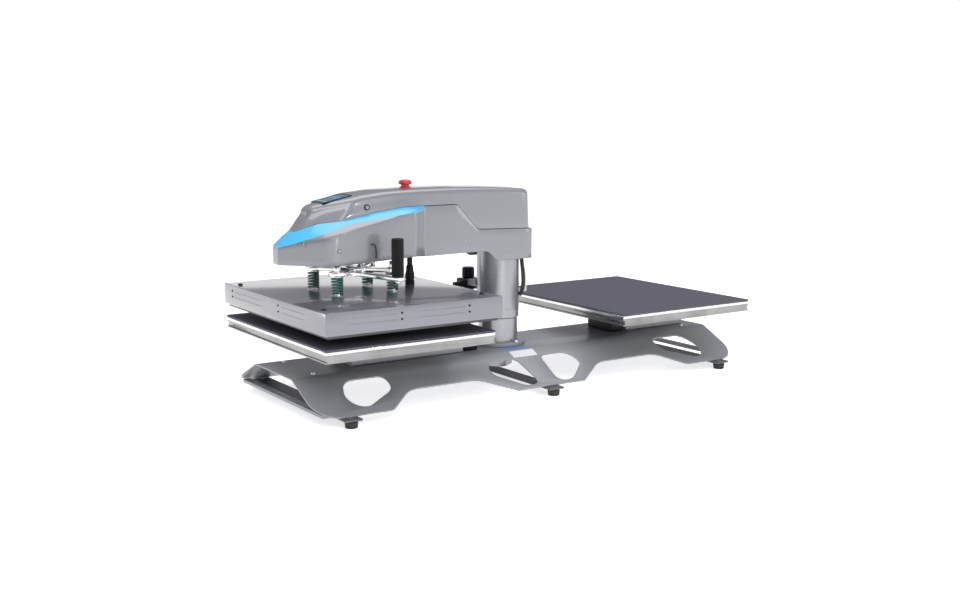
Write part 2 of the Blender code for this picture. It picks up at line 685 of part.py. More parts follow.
def make_head_frame(finishes, parent):
    """The welded channel that carries the air cylinder and sits on the sleeve."""
    top = FRAME_BOTTOM_Z + FRAME_HEIGHT
    beam = box((FRAME_FRONT_X, -FRAME_HALF_WIDTH, FRAME_BOTTOM_Z), (FRAME_REAR_X, FRAME_HALF_WIDTH, top))
    cut(beam, box((FRAME_FRONT_X - 10 * MM, -FRAME_HALF_WIDTH + FRAME_WALL, FRAME_BOTTOM_Z + 10 * MM),
                  (FRAME_REAR_X + 10 * MM, FRAME_HALF_WIDTH - FRAME_WALL, top + 10 * MM)))
    cut(beam, cylinder((0, 0, FRAME_BOTTOM_Z), SHAFT_RADIUS + RUNNING, 40 * MM))
    cut(beam, cylinder((PRESS_X, 0, FRAME_BOTTOM_Z), ROD_RADIUS + 6 * MM, 40 * MM, 24))
    cut(beam, cylinder((GUIDE_X, GUIDE_Y, FRAME_BOTTOM_Z), GUIDE_RADIUS + 5 * MM, 160 * MM, 24))
    cut(beam, cylinder((CABLE_X, 0, FRAME_BOTTOM_Z), CABLE_RADIUS + 3 * MM, 40 * MM, 24))
    adopt(beam, "head_frame", finishes["grey"], parent)

    floor = FRAME_BOTTOM_Z + 10 * MM + GAP
    bore = ROD_RADIUS + RUNNING
    barrel = turned([(0.0, CYLINDER_TOP_Z), (CYLINDER_RADIUS - 5 * MM, CYLINDER_TOP_Z),
                     (CYLINDER_RADIUS - 5 * MM, FRAME_BOTTOM_Z + FRAME_HEIGHT + 2 * MM),
                     (CYLINDER_RADIUS - 5 * MM, floor), (bore, floor),
                     (bore, CYLINDER_TOP_Z - 10 * MM), (0.0, CYLINDER_TOP_Z - 10 * MM)],
                    (PRESS_X, 0, 0), 32)
    cut(barrel, cylinder((GUIDE_X, GUIDE_Y, FRAME_BOTTOM_Z), GUIDE_RADIUS + 6 * MM, 260 * MM, 24))
    adopt(barrel, "air_cylinder", finishes["aluminium"], parent)
    bush = ring(GUIDE_RADIUS + RUNNING, GUIDE_RADIUS + 5 * MM - GAP, FRAME_BOTTOM_Z - 12 * MM,
                FRAME_BOTTOM_Z + 30 * MM, (GUIDE_X, GUIDE_Y, 0), 24)
    adopt(bush, "guide_bush", finishes["bronze"], parent)


def make_controls(finishes, swing, button_axis):
    """The touch display on the sloping roof and the emergency stop on top."""
    roof = in_metres(ROOF_PROFILE)
    rear = DISPLAY_REAR_X
    front = rear - DISPLAY_LENGTH
    rise = profile_height(roof, rear) - profile_height(roof, front)
    slope = -math.atan2(rise, rear - front)
    centre = Vector(((rear + front) / 2, 0.0, (profile_height(roof, rear) + profile_height(roof, front)) / 2))
    normal = Vector((math.sin(slope), 0.0, math.cos(slope)))

    def slab(length, width, low, high, rounding):
        thing = box((-length / 2, -width / 2, low), (length / 2, width / 2, high), rounding)
        bpy.ops.object.transform_apply(location=True, rotation=True, scale=True)
        thing.location = centre
        thing.rotation_euler = (0.0, slope, 0.0)
        return thing

    bezel = slab(DISPLAY_LENGTH, DISPLAY_WIDTH, 0.5 * MM, 3 * MM, 0.8 * MM)
    adopt(bezel, "display_bezel", finishes["black"], swing)
    screen = slab(DISPLAY_LENGTH - 12 * MM, DISPLAY_WIDTH - 12 * MM, 3 * MM + GAP, 4.3 * MM, 0.0)
    adopt(screen, "display_screen", finishes["screen"], swing)

    roof_top = profile_height(roof, ESTOP_X)
    seat = roof_top + 0.5 * MM
    collar = ring(6 * MM, ESTOP_NECK_RADIUS, roof_top - 24 * MM, seat, (ESTOP_X, 0, 0), 24)
    flange = ring(6 * MM, ESTOP_NECK_RADIUS + 4 * MM, seat - 0.2 * MM, seat + 2.5 * MM, (ESTOP_X, 0, 0), 24)
    join(collar, flange)
    adopt(collar, "estop_collar", finishes["black"], swing)
    base = seat + 2.5 * MM + ESTOP_TRAVEL + 0.5 * MM
    button = turned([(0.0, base + 11 * MM), (8 * MM, base + 10.4 * MM), (13 * MM, base + 8 * MM),
                     (15 * MM, base + 4.5 * MM), (15 * MM, base + 1.5 * MM), (13.5 * MM, base),
                     (6 * MM - RUNNING, base), (6 * MM - RUNNING, base - 14 * MM), (0.0, base - 14 * MM)],
                    (ESTOP_X, 0, 0), 28)
    adopt(button, "estop_button", finishes["red"], button_axis)


def make_hoses(finishes, parent):
    """The conduit and air tube that leave the head and enter the sleeve, and the tube's elbow."""
    def around(angle, radius, height):
        turn = math.radians(angle)
        return (radius * math.cos(turn), radius * math.sin(turn), height)

    beside = SLEEVE_RADIUS + HOSE_RADIUS + 1 * MM
    top = FRAME_BOTTOM_Z - GAP
    route = smooth_route([around(-50, beside, top - 6 * MM), around(-50, beside, 300 * MM),
                          around(-46, beside + 2 * MM, 274 * MM), around(-43, beside + 4 * MM, 248 * MM),
                          around(-42, beside + 4 * MM, 226 * MM), around(-43, beside + 2 * MM, 209 * MM)], 4)
    adopt(tube(route, HOSE_RADIUS, 2), "conduit_hose", finishes["rubber"], parent)

    elbow = cylinder(around(-20, SLEEVE_RADIUS + 10 * MM, PORT_Z + 4 * MM), 5 * MM, 19 * MM, 16,
                     (0.0, math.pi / 2, math.radians(-20)))
    riser = cylinder(around(-20, SLEEVE_RADIUS + 16 * MM, PORT_Z + 8 * MM), 4.5 * MM, 12 * MM, 16)
    join(elbow, riser)
    cut(elbow, cylinder((0, 0, PORT_Z), SLEEVE_RADIUS + GAP, 40 * MM, 40))
    adopt(elbow, "air_elbow", finishes["white"], parent)
    start = PORT_Z + 14 * MM + GAP
    line = smooth_route([around(-20, SLEEVE_RADIUS + 16 * MM, start),
                         around(-21, SLEEVE_RADIUS + 15.5 * MM, start + 26 * MM),
                         around(-25, SLEEVE_RADIUS + 10 * MM, 268 * MM),
                         around(-28, SLEEVE_RADIUS + 5.5 * MM, 292 * MM),
                         around(-28, SLEEVE_RADIUS + 4.5 * MM, top - 6 * MM)], 4)
    adopt(tube(line, AIR_TUBE_RADIUS, 2), "air_tube", finishes["white"], parent)


def make_regulator(finishes, swing, knob_axis):
    """The air regulator on its strap bracket behind the sleeve, with its bowl and knob."""
    z = REGULATOR_BODY_Z
    strap_top = STRAP_BOTTOM_Z + STRAP_HEIGHT
    strap = ring(SLEEVE_RADIUS + GAP, SLEEVE_RADIUS + 3.5 * MM, STRAP_BOTTOM_Z, strap_top, (0, 0, 0), 40)
    shelf = box((REGULATOR_X - 14 * MM, 42 * MM, STRAP_BOTTOM_Z - 6 * MM),
                (REGULATOR_X + 14 * MM, REGULATOR_Y - REGULATOR_BODY / 2 - GAP, STRAP_BOTTOM_Z + 8 * MM))
    join(strap, shelf)
    cut(strap, cylinder((0, 0, z), SLEEVE_RADIUS + GAP, 60 * MM, 40))
    adopt(strap, "regulator_bracket", finishes["grey"], swing)
    half = REGULATOR_BODY / 2
    body = box((REGULATOR_X - half - 6 * MM, REGULATOR_Y - half, z - 4 * MM),
               (REGULATOR_X + half + 6 * MM, REGULATOR_Y + half, z + 22 * MM), 3 * MM)
    join(body, cylinder((REGULATOR_X - half - 14 * MM, REGULATOR_Y, z + 9 * MM), 6 * MM, 20 * MM, 16,
                        (0.0, math.pi / 2, 0.0)))
    adopt(body, "regulator_body", finishes["black"], swing)
    bowl_top = z - 4 * MM - GAP
    bowl = turned([(0.0, bowl_top), (14 * MM, bowl_top), (14 * MM, bowl_top - 16 * MM),
                   (8 * MM, bowl_top - 21 * MM), (0.0, bowl_top - 22 * MM)],
                  (REGULATOR_X, REGULATOR_Y, 0), 24)
    adopt(bowl, "regulator_bowl", finishes["screen"], swing)
    base = z + 22 * MM + RUNNING
    top = base + 26 * MM
    knob = turned([(0.0, top), (KNOB_RADIUS - 2 * MM, top), (KNOB_RADIUS, top - 2 * MM),
                   (KNOB_RADIUS, base + 3 * MM), (KNOB_RADIUS - 4 * MM, base), (0.0, base)],
                  (REGULATOR_X, REGULATOR_Y, 0), 24)
    adopt(knob, "regulator_knob", finishes["black"], knob_axis)


# ---------------------------------------------------------------- press
def spring_places():
    return [(name, PRESS_X + dx * SPRING_DX, dy * SPRING_DY) for name, dx, dy in
            (("front_left", -1, -1), ("rear_left", -1, 1), ("front_right", 1, -1), ("rear_right", 1, 1))]


def make_press(finishes, parent):
    plate_bottom = PRESS_PLATE_BOTTOM_Z
    plate_top = plate_bottom + PRESS_PLATE_THICKNESS
    rod = turned([(0.0, CYLINDER_TOP_Z - 14 * MM), (ROD_RADIUS, CYLINDER_TOP_Z - 14 * MM),
                  (ROD_RADIUS, plate_top + GAP), (0.0, plate_top + GAP)], (PRESS_X, 0, 0), 28)
    adopt(rod, "piston_rod", finishes["chrome"], parent)
    nut = cylinder((PRESS_X, 0, plate_top + GAP + ROD_NUT_HEIGHT / 2), 17 * MM, ROD_NUT_HEIGHT, 6)
    cut(nut, cylinder((PRESS_X, 0, plate_top), ROD_RADIUS + GAP, 4 * ROD_NUT_HEIGHT, 40))
    adopt(nut, "rod_nut", finishes["chrome"], parent)
    guide = cylinder((GUIDE_X, GUIDE_Y, (plate_top + GAP + 400 * MM) / 2), GUIDE_RADIUS,
                     400 * MM - plate_top - GAP, 24)
    adopt(guide, "guide_rod", finishes["chrome"], parent)

    arms = cross_outline()
    spider = plate(arms, plate_bottom, plate_top)
    for _, x, y in spring_places():
        cut(spider, cylinder((x, y, plate_bottom), SPRING_BOLT_RADIUS + RUNNING, 40 * MM, 24))
    adopt(spider, "press_plate", finishes["polished"], parent)

    floor = HEAT_HOUSING_TOP_Z + GAP
    ceiling = plate_bottom - GAP
    pitch = (ceiling - floor - 2 * SPRING_WIRE) / SPRING_TURNS
    per_turn = SPRING_POINTS_PER_TURN
    for name, x, y in spring_places():
        route = []
        for step in range(SPRING_TURNS * per_turn + 1):
            turn = math.tau * step / per_turn
            reach = SPRING_RADIUS - SPRING_WIRE
            route.append((x + reach * math.cos(turn), y + reach * math.sin(turn),
                          floor + SPRING_WIRE + pitch * step / per_turn))
        adopt(tube(route, SPRING_WIRE, 1), "spring_" + name, finishes["green"], parent)
        bolt = turned([(0.0, plate_top + 15 * MM), (SPRING_BOLT_RADIUS - 1 * MM, plate_top + 15 * MM),
                       (SPRING_BOLT_RADIUS, plate_top + 14 * MM), (SPRING_BOLT_RADIUS, floor), (0.0, floor)],
                      (x, y, 0), 20)
        adopt(bolt, "spring_bolt_" + name, finishes["chrome"], parent)

    half_x = HEAT_WIDTH / 2
    half_y = HEAT_DEPTH / 2
    housing = box((HEAT_CENTRE_X - half_x, -half_y, HEAT_HOUSING_BOTTOM_Z),
                  (HEAT_CENTRE_X + half_x, half_y, HEAT_HOUSING_TOP_Z), 1.5 * MM)
    room_x = half_x - HEAT_HOUSING_WALL
    room_y = half_y - HEAT_HOUSING_WALL
    cut(housing, box((HEAT_CENTRE_X - room_x, -room_y, HEAT_HOUSING_BOTTOM_Z - 10 * MM),
                     (HEAT_CENTRE_X + room_x, room_y, HEAT_HOUSING_TOP_Z - HEAT_HOUSING_WALL)))
    adopt(housing, "heat_housing", finishes["grey"], parent)
    in_x = half_x - HEAT_FACE_INSET
    in_y = half_y - HEAT_FACE_INSET
    face = box((HEAT_CENTRE_X - in_x, -in_y, HEAT_FACE_Z),
               (HEAT_CENTRE_X + in_x, in_y, HEAT_FACE_Z + HEAT_PLATE_THICKNESS), 1.5 * MM)
    adopt(face, "heating_plate", finishes["coated"], parent)

    bar_top = GRIP_BOTTOM_Z - GAP
    bar = plate(handle_outline(), bar_top - HANDLE_BAR, bar_top)
    adopt(bar, "handle_bar", finishes["polished"], parent)
    grip = turned([(0.0, GRIP_TOP_Z), (GRIP_RADIUS - 1.5 * MM, GRIP_TOP_Z),
                   (GRIP_RADIUS, GRIP_TOP_Z - 1.5 * MM), (GRIP_RADIUS, GRIP_BOTTOM_Z),
                   (0.0, GRIP_BOTTOM_Z)], (GRIP_X, GRIP_Y, 0), 28)
    adopt(grip, "handle_grip", finishes["black"], parent)

    gland_top = floor + GLAND_HEIGHT
    gland = turned([(0.0, gland_top), (CABLE_RADIUS + 1.5 * MM, gland_top), (GLAND_RADIUS, gland_top - 14 * MM),
                    (GLAND_RADIUS, floor), (0.0, floor)], (CABLE_X, 0, 0), 24)
    adopt(gland, "cable_gland", finishes["black"], parent)
    lead = tube([(CABLE_X, 0, gland_top + GAP), (CABLE_X, 0, CABLE_TOP_Z)], CABLE_RADIUS, 3)
    adopt(lead, "heater_cable", finishes["rubber"], parent)


def cross_outline():
    """The four-armed press plate in plan: a hub with an arm to each spring."""
    arm = SPRING_BOLT_RADIUS + 9 * MM
    hub = 30 * MM
    reach_x = SPRING_DX + arm
    reach_y = SPRING_DY + arm
    waist = 24 * MM
    quarter = [(hub, 0.0, 0.0), (reach_x - 2 * arm * 0.6, reach_y - 2 * arm - waist * 0.2, 10 * MM),
               (reach_x, reach_y - 2 * arm, arm * 0.8), (reach_x, reach_y, arm * 0.9),
               (reach_x - 2 * arm, reach_y, arm * 0.8), (waist * 0.6, hub, 8 * MM)]
    corners = list(quarter)
    corners += [(-x, y, radius) for x, y, radius in reversed(quarter)]
    corners += [(-x, -y, radius) for x, y, radius in quarter[1:]]
    corners += [(x, -y, radius) for x, y, radius in reversed(quarter[1:])]
    return [(PRESS_X + point.x, point.y) for point in rounded(corners, 3)]


def handle_outline():
    """The handle's bar in plan, from under the press plate's hub out to the grip."""
    half = HANDLE_BAR_WIDTH / 2
    start = Vector((PRESS_X, -6 * MM))
    end = Vector((GRIP_X, GRIP_Y))
    run = (end - start).normalized()
    side = Vector((-run.y, run.x))
    tail = end + run * (half + 3 * MM)
    corners = [(*(start + side * half), 6 * MM), (*(start - side * half), 6 * MM),
               (*(tail - side * half), half * 0.95), (*(tail + side * half), half * 0.95)]
    return [tuple(point) for point in rounded(corners, 5)]


def main():
    clear_scene()
    finishes = {
        "silver": material("silver_paint", (0.55, 0.56, 0.60), 0.32, 0.35),
        "grey": material("grey_paint", (0.42, 0.43, 0.46), 0.40, 0.25),
        "frame": material("base_paint", (0.36, 0.37, 0.40), 0.42, 0.30),
        "satin": material("satin_steel", (0.66, 0.67, 0.69), 0.28, 0.85),
        "steel": material("plain_steel", (0.50, 0.50, 0.52), 0.40, 0.90),
        "chrome": material("chrome", (0.85, 0.85, 0.87), 0.10, 1.0),
        "polished": material("polished_alloy", (0.78, 0.78, 0.80), 0.18, 1.0),
        "aluminium": material("bright_aluminium", (0.88, 0.88, 0.87), 0.22, 1.0),
        "bronze": material("bearing_bronze", (0.60, 0.42, 0.22), 0.45, 0.9),
        "silicone": material("silicone_pad", (0.18, 0.17, 0.20), 0.65, 0.0),
        "coated": material("coated_plate", (0.08, 0.08, 0.09), 0.50, 0.1),
        "blue": material("accent_blue", (0.12, 0.52, 0.86), 0.35, 0.0),
        "black": material("black_plastic", (0.02, 0.02, 0.022), 0.45, 0.0),
        "rubber": material("black_rubber", (0.025, 0.025, 0.027), 0.70, 0.0),
        "red": material("red_plastic", (0.62, 0.03, 0.03), 0.35, 0.0),
        "green": material("spring_green", (0.01, 0.14, 0.11), 0.40, 0.1),
        "screen": material("display_glass", (0.03, 0.12, 0.20), 0.15, 0.0),
        "white": material("clear_tube", (0.80, 0.82, 0.84), 0.30, 0.0),
    }
    swing = empty("swing_axis", (0.0, 0.0, SLEEVE_BOTTOM_Z))
    press = empty("press_axis", (PRESS_X, 0.0, PRESS_PLATE_BOTTOM_Z), swing)
    button_axis = empty("estop_axis", (ESTOP_X, 0.0, ROOF_Z), swing)
    knob_axis = empty("regulator_knob_axis", (REGULATOR_X, REGULATOR_Y, REGULATOR_BODY_Z), swing)

    make_base_frame(finishes["frame"])
    make_cross_bars(finishes["grey"])
    make_feet(finishes["rubber"])
    make_station("left", -1, finishes)
    make_station("right", 1, finishes)
    make_column(finishes)
    make_sleeve(finishes, swing)
    make_covers(finishes, swing)
    make_head_frame(finishes, swing)
    make_controls(finishes, swing, button_axis)
    make_hoses(finishes, swing)
    make_regulator(finishes, swing, knob_axis)
    make_press(finishes, press)


main()
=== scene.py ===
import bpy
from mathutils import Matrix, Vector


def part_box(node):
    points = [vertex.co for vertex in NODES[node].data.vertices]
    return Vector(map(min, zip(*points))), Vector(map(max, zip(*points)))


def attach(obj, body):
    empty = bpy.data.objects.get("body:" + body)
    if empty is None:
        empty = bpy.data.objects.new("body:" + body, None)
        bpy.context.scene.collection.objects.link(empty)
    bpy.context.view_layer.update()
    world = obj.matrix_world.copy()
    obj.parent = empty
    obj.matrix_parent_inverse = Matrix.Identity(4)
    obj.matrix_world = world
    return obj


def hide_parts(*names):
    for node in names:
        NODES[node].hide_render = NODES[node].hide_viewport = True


bl_info = {
    "name": "Swing-head heat press",
    "version": (1, 0, 0),
    "blender": (4, 5, 0),
    "location": "View3D > Sidebar > Heat press",
    "description": "Covers, platens, springs, controls and finishes of a swing-head heat press",
    "category": "Add Mesh",
}

import math

import bmesh
import bpy
from bpy.props import FloatProperty, FloatVectorProperty, IntProperty, PointerProperty
from mathutils import Matrix, Vector

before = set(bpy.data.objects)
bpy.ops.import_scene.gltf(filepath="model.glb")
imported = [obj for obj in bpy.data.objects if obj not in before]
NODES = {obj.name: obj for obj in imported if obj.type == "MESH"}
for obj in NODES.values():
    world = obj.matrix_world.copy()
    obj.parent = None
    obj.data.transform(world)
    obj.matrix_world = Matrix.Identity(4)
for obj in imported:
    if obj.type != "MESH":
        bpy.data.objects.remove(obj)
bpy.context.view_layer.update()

MM = 0.001
SIDES = (("left", -1), ("right", 1))
ENDS = (("front", -1), ("rear", 1))

# Base sheet, as folded
BASE_HALF_LENGTH = 578 * MM
BASE_TOP_HALF_WIDTH = 92.5 * MM
BASE_FOOT_HALF_WIDTH = 219 * MM
BASE_TOP_Z = 84.2 * MM
BASE_FOOT_Z = 23 * MM
BASE_SHEET = 3 * MM

# Head covers: side profiles as (x, z) in millimetres, and plan sizes
SKIRT = [(-573, 311), (-487, 310), (-275, 317), (-238, 312), (-76, 313), (-66, 310), (-58, 303),
         (-50, 294), (-40, 289), (66, 289)]
BELT = [(-564, 349), (-541, 357), (-501, 367), (-457, 377), (-420, 386), (-380, 394), (-340, 401),
        (-300, 411), (-275, 418), (-238, 423), (-152, 423), (-96, 364), (66, 358)]
LEDGE = [(-528, 379), (-510, 387), (-485, 396), (-431, 403), (-363, 415), (-292, 424), (-238, 424),
         (-152, 424), (-96, 365), (66, 359)]
ROOF = [(-500, 428), (-489, 431), (-387, 452), (-328, 458), (-250, 460), (-150, 460), (-60, 457),
        (10, 453), (58, 449)]
HEAD_REAR_X = 66 * MM
ARM_HALF_WIDTH = 62 * MM
POD_HALF_WIDTH = 101 * MM
NOSE_X = -566 * MM
ARM_FRONT_X = -238 * MM
POD_REAR_X = -275 * MM
STRIPE_END_X = -240 * MM
PARTING_GAP = 0.8 * MM

PAINTED_HIGHLIGHT_Z = 159.5 * MM    # a lower platen's edge carries a painted highlight, a pale band of colour, above this height

# Places that the press shares between its pieces
PRESS_X = -384 * MM
SPRING_PLACES = [(name, PRESS_X + x * 67 * MM, y * 57 * MM) for name, x, y in
                 (("front_left", -1, -1), ("rear_left", -1, 1), ("front_right", 1, -1), ("rear_right", 1, 1))]


# ---------------------------------------------------------------- sizes and colours
class HeatPressSizes(bpy.types.PropertyGroup):
    """Sizes of the small shapes that the finished pieces carry"""
    edge: FloatProperty(name="Sheet edge", description="Rounding of sheet metal edges",
                        default=0.6 * MM, min=0.0, unit="LENGTH")
    machined_edge: FloatProperty(name="Machined edge", description="Chamfer of machined edges",
                                 default=0.8 * MM, min=0.0, unit="LENGTH")
    housing_corner: FloatProperty(name="Housing corner", description="Rounding of the heat housing",
                                  default=2.2 * MM, min=0.0, unit="LENGTH")
    cover_wall: FloatProperty(name="Cover wall", description="Wall of the moulded covers",
                              default=2.5 * MM, min=0.5 * MM, unit="LENGTH")
    shoulder: FloatProperty(name="Roof shoulder", description="Rounding between cabin wall and roof",
                            default=14 * MM, min=2 * MM, unit="LENGTH")
    pad_crown: FloatProperty(name="Pad crown", description="How far a pad's middle stands above its rim",
                             default=0.5 * MM, min=0.0, unit="LENGTH")
    pad_corner: FloatProperty(name="Pad corner", description="Corner rounding of a pad in plan",
                              default=6 * MM, min=0.0, unit="LENGTH")
    spring_turns: IntProperty(name="Spring turns", description="Turns of each die spring",
                              default=6, min=3, max=12)
    grip_flutes: IntProperty(name="Grip flutes", description="Flutes round the handle grip",
                             default=16, min=6, max=40)
    groove: FloatProperty(name="Panel groove", description="Height of the grooves in the housing's sides",
                          default=1.4 * MM, min=0.2 * MM, unit="LENGTH")
    small_screw: FloatProperty(name="Small screw", description="Head radius of the panel screws",
                               default=2.4 * MM, min=0.5 * MM, unit="LENGTH")


class HeatPressColours(bpy.types.PropertyGroup):
    """Colours of the press"""
    base: FloatVectorProperty(name="Base", description="Powder coat of the base",
                              subtype="COLOR", default=(0.265, 0.27, 0.29), min=0.0, max=1.0)
    cover: FloatVectorProperty(name="Covers", description="Silver-grey paint of the covers",
                               subtype="COLOR", default=(0.235, 0.24, 0.26), min=0.0, max=1.0)
    housing: FloatVectorProperty(name="Heat housing", description="Paint of the heat housing",
                                 subtype="COLOR", default=(0.20, 0.20, 0.225), min=0.0, max=1.0)
    stripe: FloatVectorProperty(name="Stripe", description="Gloss trim round the pod",
                                subtype="COLOR", default=(0.045, 0.47, 0.86), min=0.0, max=1.0)
    pad: FloatVectorProperty(name="Pads", description="Silicone foam of the pads",
                             subtype="COLOR", default=(0.075, 0.070, 0.095), min=0.0, max=1.0)
    spring: FloatVectorProperty(name="Springs", description="Enamel of the die springs",
                                subtype="COLOR", default=(0.004, 0.11, 0.085), min=0.0, max=1.0)
    button: FloatVectorProperty(name="Stop button", description="Plastic of the stop button",
                                subtype="COLOR", default=(0.55, 0.02, 0.018), min=0.0, max=1.0)
    label: FloatVectorProperty(name="Label", description="Plain label on the base",
                               subtype="COLOR", default=(0.10, 0.22, 0.55), min=0.0, max=1.0)
    floor: FloatVectorProperty(name="Floor", description="Plain pale floor",
                               subtype="COLOR", default=(0.92, 0.92, 0.92), min=0.0, max=1.0)


# ---------------------------------------------------------------- modelling helpers
def activate(thing):
    bpy.ops.object.select_all(action="DESELECT")
    thing.select_set(True)
    bpy.context.view_layer.objects.active = thing


def in_edit(thing, mode="FACE"):
    """Go into edit mode on one piece, with all of it selected."""
    activate(thing)
    bpy.ops.object.mode_set(mode="EDIT")
    bpy.ops.mesh.select_mode(type=mode)
    bpy.ops.mesh.select_all(action="SELECT")


def out_of_edit():
    bpy.ops.object.mode_set(mode="OBJECT")


def drawn_up(rise):
    """In edit mode, extrude what is selected straight up, or down where rise is negative."""
    bpy.ops.mesh.extrude_region_move(TRANSFORM_OT_translate={"value": (0.0, 0.0, rise)})


def choose_faces(thing, test):
    """In edit mode, select the faces whose centre and normal pass a test."""
    bpy.ops.mesh.select_all(action="DESELECT")
    shape = bmesh.from_edit_mesh(thing.data)
    for face in shape.faces:
        if test(face.calc_center_median(), face.normal):
            face.select_set(True)
    bmesh.update_edit_mesh(thing.data)


def outward(thing):
    """Weld doubles and turn the faces of a closed shape outwards."""
    in_edit(thing, "VERT")
    bpy.ops.mesh.remove_doubles(threshold=0.000002)
    bpy.ops.mesh.normals_make_consistent(inside=False)
    out_of_edit()
    return thing


def shaped(thing, kind, **settings):
    """Add one modifier, set it and apply it."""
    activate(thing)
    bpy.ops.object.modifier_add(type=kind)
    step = thing.modifiers[-1]
    for key, value in settings.items():
        setattr(step, key, value)
    bpy.ops.object.modifier_apply(modifier=step.name)
    return thing


def eased(thing, width, segments=3, angle=30.0):
    """Round the edges that are sharper than an angle."""
    return shaped(thing, "BEVEL", width=width, segments=segments, limit_method="ANGLE",
                  angle_limit=math.radians(angle), use_clamp_overlap=True)


def cut(thing, tool):
    """Take a tool's shape out of a piece, and the tool away."""
    shaped(thing, "BOOLEAN", operation="DIFFERENCE", solver="EXACT", object=tool)
    bpy.data.objects.remove(tool, do_unlink=True)
    return thing


def set_down(thing):
    """Put an object's place, turn and size in its mesh."""
    activate(thing)
    bpy.ops.object.transform_apply(location=True, rotation=True, scale=True)
    return thing


def block(low, high, rounding=0.0):
    bpy.ops.object.select_all(action="DESELECT")
    centre = [(a + b) / 2 for a, b in zip(low, high)]
    bpy.ops.mesh.primitive_cube_add(size=1.0, location=centre)
    thing = bpy.context.object
    thing.scale = [b - a for a, b in zip(low, high)]
    set_down(thing)
    if rounding > 0.0:
        eased(thing, rounding)
    return thing


def turned(profile, centre=(0.0, 0.0), vertices=56, flutes=0, flute=0.0):
    """A turned solid: a disc drawn up through (radius, height) steps, with flutes where asked."""
    radius, height = profile[0]
    x, y = centre
    bpy.ops.object.select_all(action="DESELECT")
    count = flutes * 6 if flutes else vertices
    bpy.ops.mesh.primitive_circle_add(vertices=count, radius=radius, fill_type="NGON",
                                      location=(x, y, height))
    thing = bpy.context.object
    set_down(thing)
    if flutes:
        for vert in thing.data.vertices:
            if vert.index % 6 in (0, 1):
                vert.co.x = x + (vert.co.x - x) * (1.0 - flute)
                vert.co.y = y + (vert.co.y - y) * (1.0 - flute)
    in_edit(thing)
    for next_radius, next_height in profile[1:]:
        drawn_up(next_height - height)
        if next_radius != radius:
            share = next_radius / radius
            bpy.ops.transform.resize(value=(share, share, 1.0), center_override=(x, y, next_height))
        radius, height = next_radius, next_height
    out_of_edit()
    return outward(thing)


def hoop(profile, centre=(0.0, 0.0), steps=64):
    """A turned ring from a closed section of (radius, height) points."""
    bpy.ops.object.select_all(action="DESELECT")
    bpy.ops.mesh.primitive_circle_add(vertices=len(profile), radius=0.01, fill_type="NOTHING")
    thing = bpy.context.object
    for vert, (radius, height) in zip(thing.data.vertices, profile):
        vert.co = (radius, 0.0, height)
    shaped(thing, "SCREW", axis="Z", angle=math.tau, steps=steps, render_steps=steps,
           use_merge_vertices=True, merge_threshold=0.000005)
    thing.location = (centre[0], centre[1], 0.0)
    set_down(thing)
    return outward(thing)


def prism(outline, bottom, top):
    """A straight-sided solid on a plan outline."""
    bpy.ops.object.select_all(action="DESELECT")
    bpy.ops.mesh.primitive_circle_add(vertices=len(outline), radius=0.01, fill_type="NGON")
    thing = bpy.context.object
    for vert, point in zip(thing.data.vertices, outline):
        vert.co = (point[0], point[1], bottom)
    in_edit(thing)
    drawn_up(top - bottom)
    out_of_edit()
    return outward(thing)


def aim(thing, place, direction):
    """Stand a piece made round the origin along +Z on a place, along a direction."""
    thing.rotation_mode = "QUATERNION"
    thing.rotation_quaternion = Vector(direction).to_track_quat("Z", "Y")
    thing.location = place
    set_down(thing)
    thing.rotation_mode = "XYZ"
    return thing


def merged(things):
    """Join several shapes in the first one."""
    bpy.ops.object.select_all(action="DESELECT")
    for thing in things:
        thing.select_set(True)
    bpy.context.view_layer.objects.active = things[0]
    bpy.ops.object.join()
    return things[0]


def tube(route, radius, resolution=6, ribs=0.0):
    """A round line through points, made a mesh; ribs thickens every second point."""
    curve = bpy.data.curves.new("line", "CURVE")
    curve.dimensions = "3D"
    curve.bevel_depth = radius
    curve.bevel_resolution = resolution
    curve.use_fill_caps = True
    spline = curve.splines.new("POLY")
    spline.points.add(len(route) - 1)
    for index, (knot, point) in enumerate(zip(spline.points, route)):
        knot.co = (*point, 1.0)
        knot.radius = 1.0 - ribs if ribs and index % 4 in (0, 1) else 1.0
    thing = bpy.data.objects.new("line", curve)
    bpy.context.scene.collection.objects.link(thing)
    activate(thing)
    bpy.ops.object.convert(target="MESH")
    return outward(bpy.context.object)


def curve_through(knots, per_span):
    """Points on a smooth line through knots."""
    chain = [2 * Vector(knots[0]) - Vector(knots[1]), *[Vector(knot) for knot in knots],
             2 * Vector(knots[-1]) - Vector(knots[-2])]
    route = []
    for a, b, c, d in zip(chain, chain[1:], chain[2:], chain[3:]):
        for step in range(per_span):
            t = step / per_span
            route.append(0.5 * (2 * b + (c - a) * t + (2 * a - 5 * b + 4 * c - d) * t * t
                                + (3 * b - a - 3 * c + d) * t ** 3))
    route.append(Vector(knots[-1]))
    return route


def corner_arc(before, corner, after, radius, segments):
    """Points of the arc that rounds one corner of an outline."""
    corner = Vector(corner)
    back = Vector(before) - corner
    ahead = Vector(after) - corner
    half_angle = back.angle(ahead) / 2
    start = corner + back.normalized() * (radius / math.tan(half_angle))
    bisector = (back.normalized() + ahead.normalized()).normalized()
    centre = corner + bisector * (radius / math.sin(half_angle))
    sweep = (math.pi - 2 * half_angle) * (1 if back.cross(ahead) < 0 else -1)
    return [centre + Matrix.Rotation(sweep * step / segments, 2) @ (start - centre)
            for step in range(segments + 1)]


